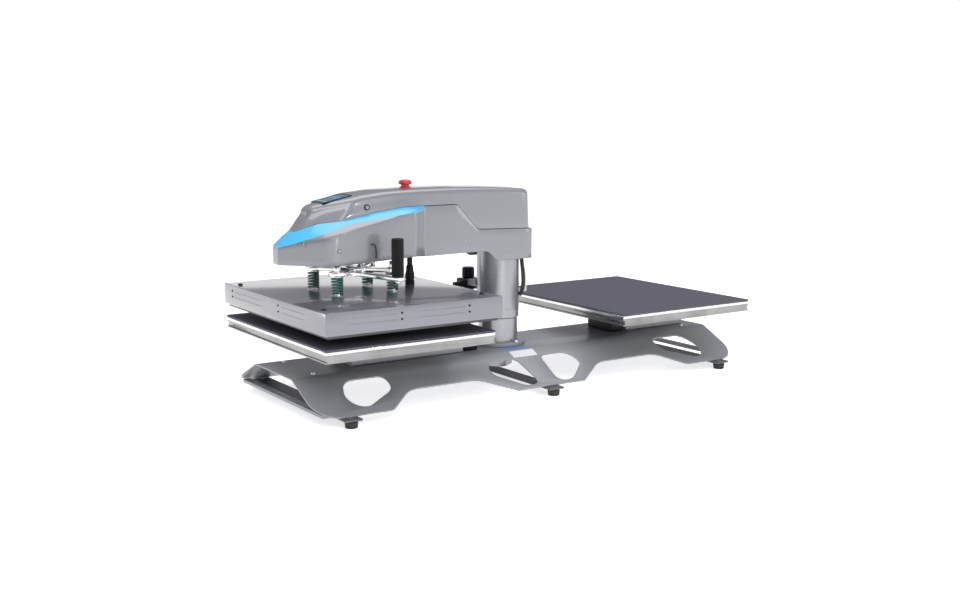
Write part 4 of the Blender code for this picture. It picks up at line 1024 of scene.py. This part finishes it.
    def fittings(self):
        for end, row in ENDS:
            for name, x, y, z in (("pod", -466 * MM, POD_HALF_WIDTH, 342 * MM),
                                  ("arm", -129 * MM, ARM_HALF_WIDTH, 339 * MM)):
                well = hoop([(3.0 * MM, -1.2 * MM), (4.4 * MM, -1.2 * MM), (4.4 * MM, 0.1 * MM),
                             (4.0 * MM, 0.45 * MM), (3.3 * MM, 0.45 * MM), (3.0 * MM, 0.1 * MM)], steps=36)
                aim(well, (x, row * y, z), (0, row, 0))
                finish(well, "cover_eyelet_%s_%s" % (name, end), "swing_head", cover_paint())
                head = screw_head(2.9 * MM, 1.2 * MM, 1.3 * MM, (0, row, 0), (x, row * (y - 0.9 * MM), z))
                finish(head, "cover_screw_%s_%s" % (name, end), "swing_head", machined_steel())
            seat = hoop([(4.2 * MM, -1.0 * MM), (6.2 * MM, -1.0 * MM), (6.2 * MM, 0.2 * MM),
                         (5.8 * MM, 0.6 * MM), (4.6 * MM, 0.6 * MM), (4.2 * MM, 0.2 * MM)], steps=40)
            lean = (0.0, row * 0.98, 0.17)
            aim(seat, (-380 * MM, row * 63.2 * MM, 427 * MM), lean)
            finish(seat, "vent_ring_" + end, "swing_head", black_plastic())
            plug = turned([(4.1 * MM, -1.0 * MM), (4.1 * MM, 0.1 * MM), (3.4 * MM, 0.4 * MM)], vertices=36)
            aim(plug, (-380 * MM, row * 63.2 * MM, 427 * MM), lean)
            finish(plug, "vent_plug_" + end, "swing_head", cover_paint())
            wall_y = row * (POD_HALF_WIDTH - 1.0 * MM)
            route = curve_through([(-392 * MM, wall_y, 351 * MM), (-386 * MM, wall_y, 352 * MM),
                                   (-381.5 * MM, wall_y, 347 * MM), (-380 * MM, wall_y, 338 * MM),
                                   (-379.5 * MM, wall_y, 322 * MM)], 5)
            slit = tube(route, 1.3 * MM, 3)
            finish(slit, "wire_slit_" + end, "swing_head", rubber())


# ---------------------------------------------------------------- head works
class HEATPRESS_OT_head_works(bpy.types.Operator):
    """The channel inside the head, the air cylinder, and the rods that come out of it"""
    bl_idname = "heatpress.head_works"
    bl_label = "Head works"

    def execute(self, context):
        channel = copy_of("head_frame", 0.8 * MM)
        finish(channel, "welded_channel", "swing_head", grey_paint(), ["head_frame"])
        dress("air_cylinder", satin_alloy(), 0.0)
        dress("guide_bush", bearing_bronze(), 0.4 * MM, 1)
        for node, top_cut in (("piston_rod", 0.6), ("guide_rod", 1.2)):
            low, high, centre, radius = round_box(node)
            rod = turned([(radius - 0.6 * MM, low.z), (radius, low.z + 0.6 * MM),
                          (radius, high.z - top_cut * MM), (radius - top_cut * MM, high.z)],
                         centre, 48)
            finish(rod, "plated_" + node, "press", bright_plate(), [node])
        return {"FINISHED"}


# ---------------------------------------------------------------- controls
# Each plain field of the display: name, centre and half sizes in millimetres on the screen, colour
DISPLAY_FIELDS = (("status_bar", 24, 0, 2, 22, (0.03, 0.22, 0.42)),
                  ("temperature_field", 8, 0, 8, 22, (0.01, 0.30, 0.52)),
                  ("timer_field", -9, 0, 7, 22, (0.02, 0.16, 0.30)),
                  ("key_left", -23, -15, 4, 6, (0.20, 0.55, 0.75)),
                  ("key_middle", -23, 0, 4, 6, (0.20, 0.55, 0.75)),
                  ("key_right", -23, 15, 4, 6, (0.20, 0.55, 0.75)))


class HEATPRESS_OT_controls(bpy.types.Operator):
    """The touch display on the sloping roof, and the emergency stop"""
    bl_idname = "heatpress.controls"
    bl_label = "Controls"

    def execute(self, context):
        self.display()
        self.stop()
        return {"FINISHED"}

    def display(self):
        """The touch display: a shallow frame, its window, and plain fields with no lettering."""
        rear = -396 * MM
        length = 72 * MM
        width = 60 * MM
        rear_z = height_at(ROOF, rear, 12)
        front_z = height_at(ROOF, rear - length, 12)
        lean = -math.atan2(rear_z - front_z, length)
        centre = Vector((rear - length / 2, 0.0, (rear_z + front_z) / 2))

        def on_roof(thing, name, look, stands_for=()):
            thing.rotation_euler = (0.0, lean, 0.0)
            thing.location = centre
            return finish(thing, name, "swing_head", look, stands_for)

        def slab(half_x, half_y, at_x, at_y, low, high, corner):
            plan = rounded_panel((at_x - half_x, at_y - half_y), (at_x + half_x, at_y + half_y), corner)
            return prism(plan, low, high)

        bezel = slab(length / 2, width / 2, 0.0, 0.0, -2.0 * MM, 1.9 * MM, 4 * MM)
        in_edit(bezel)
        choose_faces(bezel, lambda place, normal: normal.z > 0.9)
        bpy.ops.mesh.inset(thickness=3.5 * MM, depth=0.0)
        drawn_up(-0.8 * MM)
        out_of_edit()
        eased(bezel, 0.5 * MM, 2, 50.0)
        on_roof(bezel, "display_frame", black_plastic(), ["display_bezel"])
        rim = 3.8 * MM
        glass = slab(length / 2 - rim, width / 2 - rim, 0.0, 0.0, 1.12 * MM, 1.75 * MM, 1.5 * MM)
        on_roof(glass, "display_window", display_glass(), ["display_screen"])
        for name, at_x, at_y, half_x, half_y, colour in DISPLAY_FIELDS:
            tile = slab(half_x * MM, half_y * MM, at_x * MM, at_y * MM, 1.76 * MM, 1.84 * MM, 1.2 * MM)
            on_roof(tile, name, display_key("screen_" + name, colour))

    def stop(self):
        low, high, (x, _), radius = round_box("estop_button")
        collar_low, collar_high, _, rim = round_box("estop_collar")
        base = collar_high.z + 4.5 * MM
        top = high.z
        skirt = 9.3 * MM
        button = turned([(5.5 * MM, low.z), (5.5 * MM, base - 8 * MM), (skirt, base - 8 * MM), (skirt, base),
                         (radius * 0.84, base + 0.3 * MM), (radius * 0.97, base + 1.0 * MM),
                         (radius, base + 2.2 * MM), (radius, base + 4.2 * MM),
                         (radius * 0.97, base + 6.0 * MM), (radius * 0.9, base + 7.6 * MM),
                         (radius * 0.78, base + 9.0 * MM), (radius * 0.6, top - 0.9 * MM),
                         (radius * 0.4, top - 0.35 * MM), (radius * 0.2, top - 0.08 * MM),
                         (radius * 0.05, top)], (x, 0.0), 64)
        finish(button, "stop_mushroom", "stop_button", button_red(), ["estop_button"], 40.0)
        neck = 11 * MM
        seat = collar_high.z - 2.5 * MM
        bore = skirt + 0.4 * MM
        well = collar_high.z - 9 * MM
        collar = hoop([(6 * MM, collar_low.z), (neck, collar_low.z), (neck, seat), (rim - 2 * MM, seat),
                       (rim - 2 * MM, seat + 1.4 * MM), (rim - 3.1 * MM, collar_high.z),
                       (bore, collar_high.z), (bore, well), (6 * MM, well)], (x, 0.0))
        finish(collar, "stop_collar", "swing_head", button_red(), ["estop_collar"])


# ---------------------------------------------------------------- heat platen
class HEATPRESS_OT_heat_platen(bpy.types.Operator):
    """The heat housing with its grooved sides and screws, the plate under it, and its lead"""
    bl_idname = "heatpress.heat_platen"
    bl_label = "Heat platen"

    def execute(self, context):
        sizes = context.scene.heat_press_sizes
        self.housing(sizes)
        plate = copy_of("heating_plate", 1.2 * MM, 3)
        finish(plate, "coated_heating_plate", "press", coated_alloy(), ["heating_plate"])
        self.screws(sizes)
        self.lead()
        return {"FINISHED"}

    def housing(self, sizes):
        low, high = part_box("heat_housing")
        wall = 2.5 * MM
        housing = block(low, high)
        in_edit(housing)
        choose_faces(housing, lambda place, normal: normal.z < -0.9)
        bpy.ops.mesh.inset(thickness=wall, depth=0.0)
        drawn_up(high.z - low.z - wall)
        out_of_edit()
        eased(housing, sizes.housing_corner, 4, 40.0)
        deep = 0.9 * MM
        half = sizes.groove / 2
        tools = []
        for z in (229 * MM, 217 * MM):
            for y in (low.y, high.y):
                for start, end in ((-525, -418), (-365, -256)):
                    tools.append(block((start * MM, y - deep, z - half), (end * MM, y + deep, z + half)))
            for x in (low.x, high.x):
                for start, end in ((-161, -52), (52, 192)):
                    tools.append(block((x - deep, start * MM, z - half), (x + deep, end * MM, z + half)))
        cut(housing, merged(tools))
        finish(housing, "painted_housing", "press", housing_paint(), ["heat_housing"])

    def screws(self, sizes):
        low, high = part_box("heat_housing")
        places = []
        for z in (230 * MM, 217 * MM):
            places += [((0, row, 0), (x, low.y if row < 0 else high.y, z))
                       for x in (-408 * MM, -246 * MM) for _, row in ENDS]
            places += [((side, 0, 0), (low.x if side < 0 else high.x, y, z))
                       for y in (-35 * MM, 209 * MM) for _, side in SIDES]
        for count, (direction, place) in enumerate(places):
            head = screw_head(sizes.small_screw, 1.1 * MM, 1.1 * MM, direction, place)
            finish(head, "housing_screw_%02d" % count, "press", black_plastic())
        for name, x, y in (("left_front", -559, -208), ("left_rear", -559, 208),
                           ("right_front", -182, -204), ("right_rear", -182, 204)):
            head = screw_head(5.2 * MM, 2.8 * MM, 2.3 * MM, (0, 0, 1), (x * MM, y * MM, high.z))
            finish(head, "corner_screw_" + name, "press", black_plastic())

    def lead(self):
        low, high, (x, _), radius = round_box("cable_gland")
        centre = (x, 0.0)
        z = low.z
        gland = turned([(radius, z), (radius, z + 9 * MM), (radius * 0.86, z + 10 * MM),
                        (radius * 0.86, z + 13 * MM), (radius, z + 14 * MM), (radius, z + 24 * MM),
                        (radius * 0.92, z + 27 * MM), (radius * 0.84, z + 30 * MM),
                        (radius * 0.8, z + 36 * MM), (radius * 0.72, high.z - 1 * MM),
                        (radius * 0.66, high.z)], centre, flutes=12, flute=0.07)
        finish(gland, "lead_gland", "press", black_plastic(), ["cable_gland"])
        low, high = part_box("heater_cable")
        steps = 26
        route = [(x, 0.0, low.z + (high.z - low.z) * step / steps) for step in range(steps + 1)]
        lead = tube(route, (high.x - low.x) / 2, 7)
        finish(lead, "heater_lead", "press", rubber(), ["heater_cable"])


# ---------------------------------------------------------------- press
class HEATPRESS_OT_press_gear(bpy.types.Operator):
    """The four-armed press plate with its springs and bolts, and the handle"""
    bl_idname = "heatpress.press_gear"
    bl_label = "Press gear"

    def execute(self, context):
        sizes = context.scene.heat_press_sizes
        spider = copy_of("press_plate", 1.0 * MM, 3, 50.0)
        finish(spider, "cast_spider", "press", polished_alloy(), ["press_plate"], 40.0)
        nut = copy_of("rod_nut", 1.2 * MM, 3, 50.0)
        finish(nut, "plated_rod_nut", "press", bright_plate(), ["rod_nut"], 40.0)
        for name, x, y in SPRING_PLACES:
            self.spring(name, x, y, sizes)
            self.bolt(name, x, y)
        bar = copy_of("handle_bar", 1.0 * MM, 3, 50.0)
        finish(bar, "handle_lever", "press", polished_alloy(), ["handle_bar"], 40.0)
        self.grip(sizes)
        return {"FINISHED"}

    def spring(self, name, x, y, sizes):
        low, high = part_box("spring_" + name)
        outer = 13 * MM
        wide = 4.0 * MM
        tall = 4.5 * MM
        turns = sizes.spring_turns
        rise = high.z - low.z - tall
        section = rounded_panel((outer - wide, 0.0), (outer, tall), 1.0 * MM, 2)
        bpy.ops.object.select_all(action="DESELECT")
        bpy.ops.mesh.primitive_circle_add(vertices=len(section), radius=0.01, fill_type="NGON")
        coil = bpy.context.object
        for vert, point in zip(coil.data.vertices, section):
            vert.co = (point.x, 0.0, low.z + point.y)
        shaped(coil, "SCREW", axis="Z", angle=math.tau, screw_offset=rise / turns, iterations=turns,
               steps=28, render_steps=28, use_merge_vertices=False)
        coil.location = (x, y, 0.0)
        set_down(coil)
        outward(coil)
        finish(coil, "die_spring_" + name, "press", spring_enamel(), ["spring_" + name], 40.0)
        for place, z, rise in (("foot", low.z, 1.0 * MM), ("head", high.z, -1.0 * MM)):
            seat = hoop([(8.6 * MM, z), (13.4 * MM, z), (13.4 * MM, z + rise), (8.6 * MM, z + rise)],
                        (x, y), 40)
            finish(seat, "spring_seat_%s_%s" % (place, name), "press", bright_plate())

    def bolt(self, name, x, y):
        node = "spring_bolt_" + name
        low, high, _, radius = round_box(node)
        bolt = turned([(radius * 0.94, low.z), (radius * 0.94, 284 * MM), (radius, 284.4 * MM),
                       (radius, 293.6 * MM), (radius * 0.86, 293.9 * MM), (radius * 0.86, 294.6 * MM),
                       (radius, 294.9 * MM), (radius, high.z - 2.2 * MM), (radius * 0.9, high.z - 0.7 * MM),
                       (radius * 0.72, high.z)], (x, y), 40)
        cut(bolt, turned([(3.0 * MM, high.z - 5 * MM), (3.0 * MM, high.z + 4 * MM)], (x, y), 6))
        finish(bolt, "plated_bolt_" + name, "press", bright_plate(), [node], 35.0)
        washer = hoop([(radius + 0.1 * MM, 292.6 * MM), (11 * MM, 292.6 * MM), (11 * MM, 293.8 * MM),
                       (10.6 * MM, 294.2 * MM), (radius + 0.1 * MM, 294.2 * MM)], (x, y), 40)
        finish(washer, "bolt_washer_" + name, "press", bright_plate())

    def grip(self, sizes):
        low, high, centre, radius = round_box("handle_grip")
        grip = turned([(radius * 0.86, low.z), (radius * 0.94, low.z + 0.8 * MM),
                       (radius * 0.94, low.z + 4 * MM), (radius, low.z + 5 * MM),
                       (radius, high.z - 7 * MM), (radius * 0.98, high.z - 3 * MM),
                       (radius * 0.93, high.z - 1.2 * MM), (radius * 0.84, high.z - 0.3 * MM),
                       (radius * 0.7, high.z)], centre, flutes=sizes.grip_flutes, flute=0.09)
        finish(grip, "fluted_grip", "press", black_plastic(), ["handle_grip"], 30.0)
        cap = turned([(radius * 0.5, high.z), (radius * 0.5, high.z + 0.1 * MM),
                      (radius * 0.42, high.z + 0.35 * MM)], centre, 32)
        finish(cap, "grip_cap", "press", black_plastic())
        bolt = turned([(6.2 * MM, 270.4 * MM), (6.2 * MM, 276.0 * MM)], centre, 6)
        eased(bolt, 0.5 * MM, 2)
        finish(bolt, "grip_bolt", "press", bright_plate())


# ---------------------------------------------------------------- air line
class HEATPRESS_OT_air_line(bpy.types.Operator):
    """The conduit, air tube and regulator round the sleeve, and the gland behind the column"""
    bl_idname = "heatpress.air_line"
    bl_label = "Air line"

    def execute(self, context):
        self.hoses()
        self.regulator()
        low, high, centre, radius = round_box("power_gland")
        gland = turned([(radius, low.z), (radius, low.z + 10 * MM), (radius * 0.8, low.z + 11 * MM),
                        (radius * 0.8, low.z + 13 * MM), (radius * 0.92, low.z + 14 * MM),
                        (radius * 0.86, low.z + 20 * MM), (radius * 0.6, high.z - 2 * MM),
                        (radius * 0.42, high.z)], centre, flutes=12, flute=0.06)
        finish(gland, "mains_gland", "stand", black_plastic(), ["power_gland"])
        return {"FINISHED"}

    def hoses(self):
        *_, sleeve = round_box("swing_sleeve")
        top = 321.7 * MM          # just under the channel
        port = 205 * MM

        def around(angle, radius, height):
            turn = math.radians(angle)
            return (radius * math.cos(turn), radius * math.sin(turn), height)

        beside = sleeve + 6 * MM
        route = curve_through([around(-50, beside, top - 6 * MM), around(-50, beside, 300 * MM),
                               around(-46, beside + 2 * MM, 274 * MM), around(-43, beside + 4 * MM, 248 * MM),
                               around(-42, beside + 4 * MM, 226 * MM), around(-43, sleeve + 7 * MM, 209 * MM),
                               around(-43, sleeve + 1 * MM, 199 * MM)], 20)
        hose = tube(route, 5 * MM, 5, ribs=0.14)
        finish(hose, "corrugated_conduit", "swing_head", rubber(), ["conduit_hose"], 50.0)
        elbow = copy_of("air_elbow", 0.4 * MM, 1, 50.0)
        finish(elbow, "push_in_elbow", "swing_head", white_plastic(), ["air_elbow"], 40.0)
        start = port + 14.3 * MM
        line = curve_through([around(-20, sleeve + 16 * MM, start),
                              around(-21, sleeve + 15.5 * MM, start + 26 * MM),
                              around(-25, sleeve + 10 * MM, 268 * MM),
                              around(-28, sleeve + 5.5 * MM, 292 * MM),
                              around(-28, sleeve + 4.5 * MM, top - 6 * MM)], 8)
        pipe = tube(line, 3 * MM, 6)
        finish(pipe, "milky_air_tube", "swing_head", white_plastic(), ["air_tube"], 50.0)

    def regulator(self):
        strap = copy_of("regulator_bracket", 0.0)
        cut(strap, block((-80 * MM, -80 * MM, 190 * MM), (80 * MM, 28 * MM, 260 * MM)))
        eased(strap, 0.4 * MM, 1, 50.0)
        finish(strap, "regulator_strap", "swing_head", grey_paint(),
               ["regulator_bracket"], 40.0)
        body = copy_of("regulator_body", 0.8 * MM, 2, 50.0)
        finish(body, "regulator_block", "swing_head", black_plastic(),
               ["regulator_body"], 40.0)
        low, high, centre, radius = round_box("regulator_bowl")
        bowl = turned([(radius * 0.3, low.z), (radius * 0.55, low.z + 0.6 * MM),
                       (radius * 0.8, low.z + 3 * MM),
                       (radius * 0.95, low.z + 6 * MM), (radius * 0.95, high.z - 5 * MM),
                       (radius, high.z - 4.6 * MM), (radius, high.z)], centre, 48)
        finish(bowl, "water_bowl", "swing_head", display_glass(), ["regulator_bowl"], 40.0)
        low, high, centre, radius = round_box("regulator_knob")
        knob = turned([(radius * 0.72, low.z), (radius, low.z + 2.4 * MM), (radius, high.z - 8 * MM),
                       (radius * 0.97, high.z - 3 * MM), (radius * 0.9, high.z - 0.8 * MM),
                       (radius * 0.8, high.z)], centre, flutes=20, flute=0.06)
        finish(knob, "fluted_knob", "regulator_dial", black_plastic(),
               ["regulator_knob"], 30.0)


# ---------------------------------------------------------------- stage
# Each lamp: name, place, target, width, height, watts
LAMPS = (("key_softbox", (-1.6, -2.6, 2.7), (-0.1, 0.0, 0.25), 2.2, 1.6, 30.0),
         ("top_softbox", (0.3, 0.4, 3.2), (0.0, 0.0, 0.1), 3.2, 2.4, 45.0),
         ("right_softbox", (2.6, -2.2, 1.3), (0.0, 0.0, 0.3), 1.4, 1.6, 16.0),
         ("front_strip", (-0.42, -2.97, 0.8), (0.0, 0.0, 0.25), 0.16, 1.6, 6.0),
         ("rear_strip", (-2.3, 1.9, 0.8), (0.0, 0.0, 0.25), 0.16, 1.6, 6.0),
         ("side_card", (0.42, -2.0, 0.93), (-0.405, -0.062, 0.43), 0.14, 0.12, 3.0),
         ("nose_card", (-1.04, -2.12, 1.08), (-0.485, -0.06, 0.41), 0.25, 0.14, 4.0))

# The camera: where it stands, which way it looks, and its focal length in millimetres
CAMERA_PLACE = (-1.6193, -2.3543, 0.6405)
CAMERA_AIM = (0.54766, 0.82181, -0.15713)
CAMERA_LENS = 45.87


class HEATPRESS_OT_stage(bpy.types.Operator):
    """Pale floor, soft light and the camera"""
    bl_idname = "heatpress.stage"
    bl_label = "Stage"

    def execute(self, context):
        bpy.ops.object.select_all(action="DESELECT")
        bpy.ops.mesh.primitive_grid_add(x_subdivisions=8, y_subdivisions=8, size=40.0,
                                        location=(0.0, 0.0, -0.2 * MM))
        floor = context.object
        floor.name = "floor"
        floor.data.materials.append(surface("pale_floor", colour_of("floor"), 0.55, 0.0, tint=0.004,
                                            relief=0.001 * MM, specular=0.3))
        glow = floor.data.materials[0].node_tree.nodes["Principled BSDF"]
        glow.inputs["Emission Color"].default_value = (1.0, 1.0, 1.0, 1.0)
        glow.inputs["Emission Strength"].default_value = 0.6
        self.world(context)
        for name, place, target, width, height, power in LAMPS:
            self.light(name, place, target, width, height, power)
        camera_data = bpy.data.cameras.new("camera")
        camera_data.lens = CAMERA_LENS
        camera_data.sensor_width = 36.0
        camera = bpy.data.objects.new("camera", camera_data)
        context.scene.collection.objects.link(camera)
        camera.location = CAMERA_PLACE
        camera.rotation_euler = Vector(CAMERA_AIM).to_track_quat("-Z", "Y").to_euler()
        context.scene.camera = camera
        return {"FINISHED"}

    def world(self, context):
        """A white studio wall that darkens above the object, so that upper faces mirror a softer grey."""
        world = bpy.data.worlds.new("studio")
        world.use_nodes = True
        nodes = world.node_tree.nodes
        links = world.node_tree.links
        place = nodes.new("ShaderNodeTexCoord")
        split = nodes.new("ShaderNodeSeparateXYZ")
        links.new(place.outputs["Generated"], split.inputs["Vector"])
        ramp = nodes.new("ShaderNodeValToRGB")
        links.new(split.outputs["Z"], ramp.inputs["Fac"])
        # white up to 5 degrees above the floor, grey from 7 degrees, paler again overhead
        stops = ramp.color_ramp.elements
        stops[0].position = 0.088
        stops[0].color = (1.0, 1.0, 1.0, 1.0)
        stops[1].position = 0.128
        stops[1].color = (0.24, 0.24, 0.265, 1.0)
        top = stops.new(1.0)
        top.color = (0.75, 0.75, 0.77, 1.0)
        links.new(ramp.outputs["Color"], nodes["Background"].inputs["Color"])
        nodes["Background"].inputs["Strength"].default_value = 1.0
        context.scene.world = world
        context.scene.view_settings.view_transform = "Standard"

    def light(self, name, place, target, width, height, power):
        data = bpy.data.lights.new(name, "AREA")
        data.shape = "RECTANGLE"
        data.size = width
        data.size_y = height
        data.energy = power
        lamp = bpy.data.objects.new(name, data)
        bpy.context.scene.collection.objects.link(lamp)
        lamp.location = place
        lamp.rotation_euler = (Vector(target) - Vector(place)).to_track_quat("-Z", "Y").to_euler()


class HEATPRESS_PT_panel(bpy.types.Panel):
    """Lists the steps that build the press"""
    bl_label = "Heat press"
    bl_idname = "HEATPRESS_PT_panel"
    bl_space_type = "VIEW_3D"
    bl_region_type = "UI"
    bl_category = "Heat press"

    def draw(self, context):
        for step in STEPS:
            self.layout.operator(step.bl_idname)
        for group in (context.scene.heat_press_sizes, context.scene.heat_press_colours):
            box = self.layout.box()
            for key in group.__annotations__:
                box.prop(group, key)


STEPS = (HEATPRESS_OT_base, HEATPRESS_OT_stations, HEATPRESS_OT_column, HEATPRESS_OT_covers,
         HEATPRESS_OT_head_works, HEATPRESS_OT_controls, HEATPRESS_OT_heat_platen,
         HEATPRESS_OT_press_gear, HEATPRESS_OT_air_line, HEATPRESS_OT_stage)
CLASSES = (HeatPressSizes, HeatPressColours, *STEPS, HEATPRESS_PT_panel)


def register():
    for item in CLASSES:
        bpy.utils.register_class(item)
    bpy.types.Scene.heat_press_sizes = PointerProperty(type=HeatPressSizes)
    bpy.types.Scene.heat_press_colours = PointerProperty(type=HeatPressColours)


def unregister():
    del bpy.types.Scene.heat_press_colours
    del bpy.types.Scene.heat_press_sizes
    for item in reversed(CLASSES):
        bpy.utils.unregister_class(item)


def main():
    register()
    for step in STEPS:
        group, action = step.bl_idname.split(".")
        getattr(getattr(bpy.ops, group), action)()


if __name__ == "__main__":
    main()
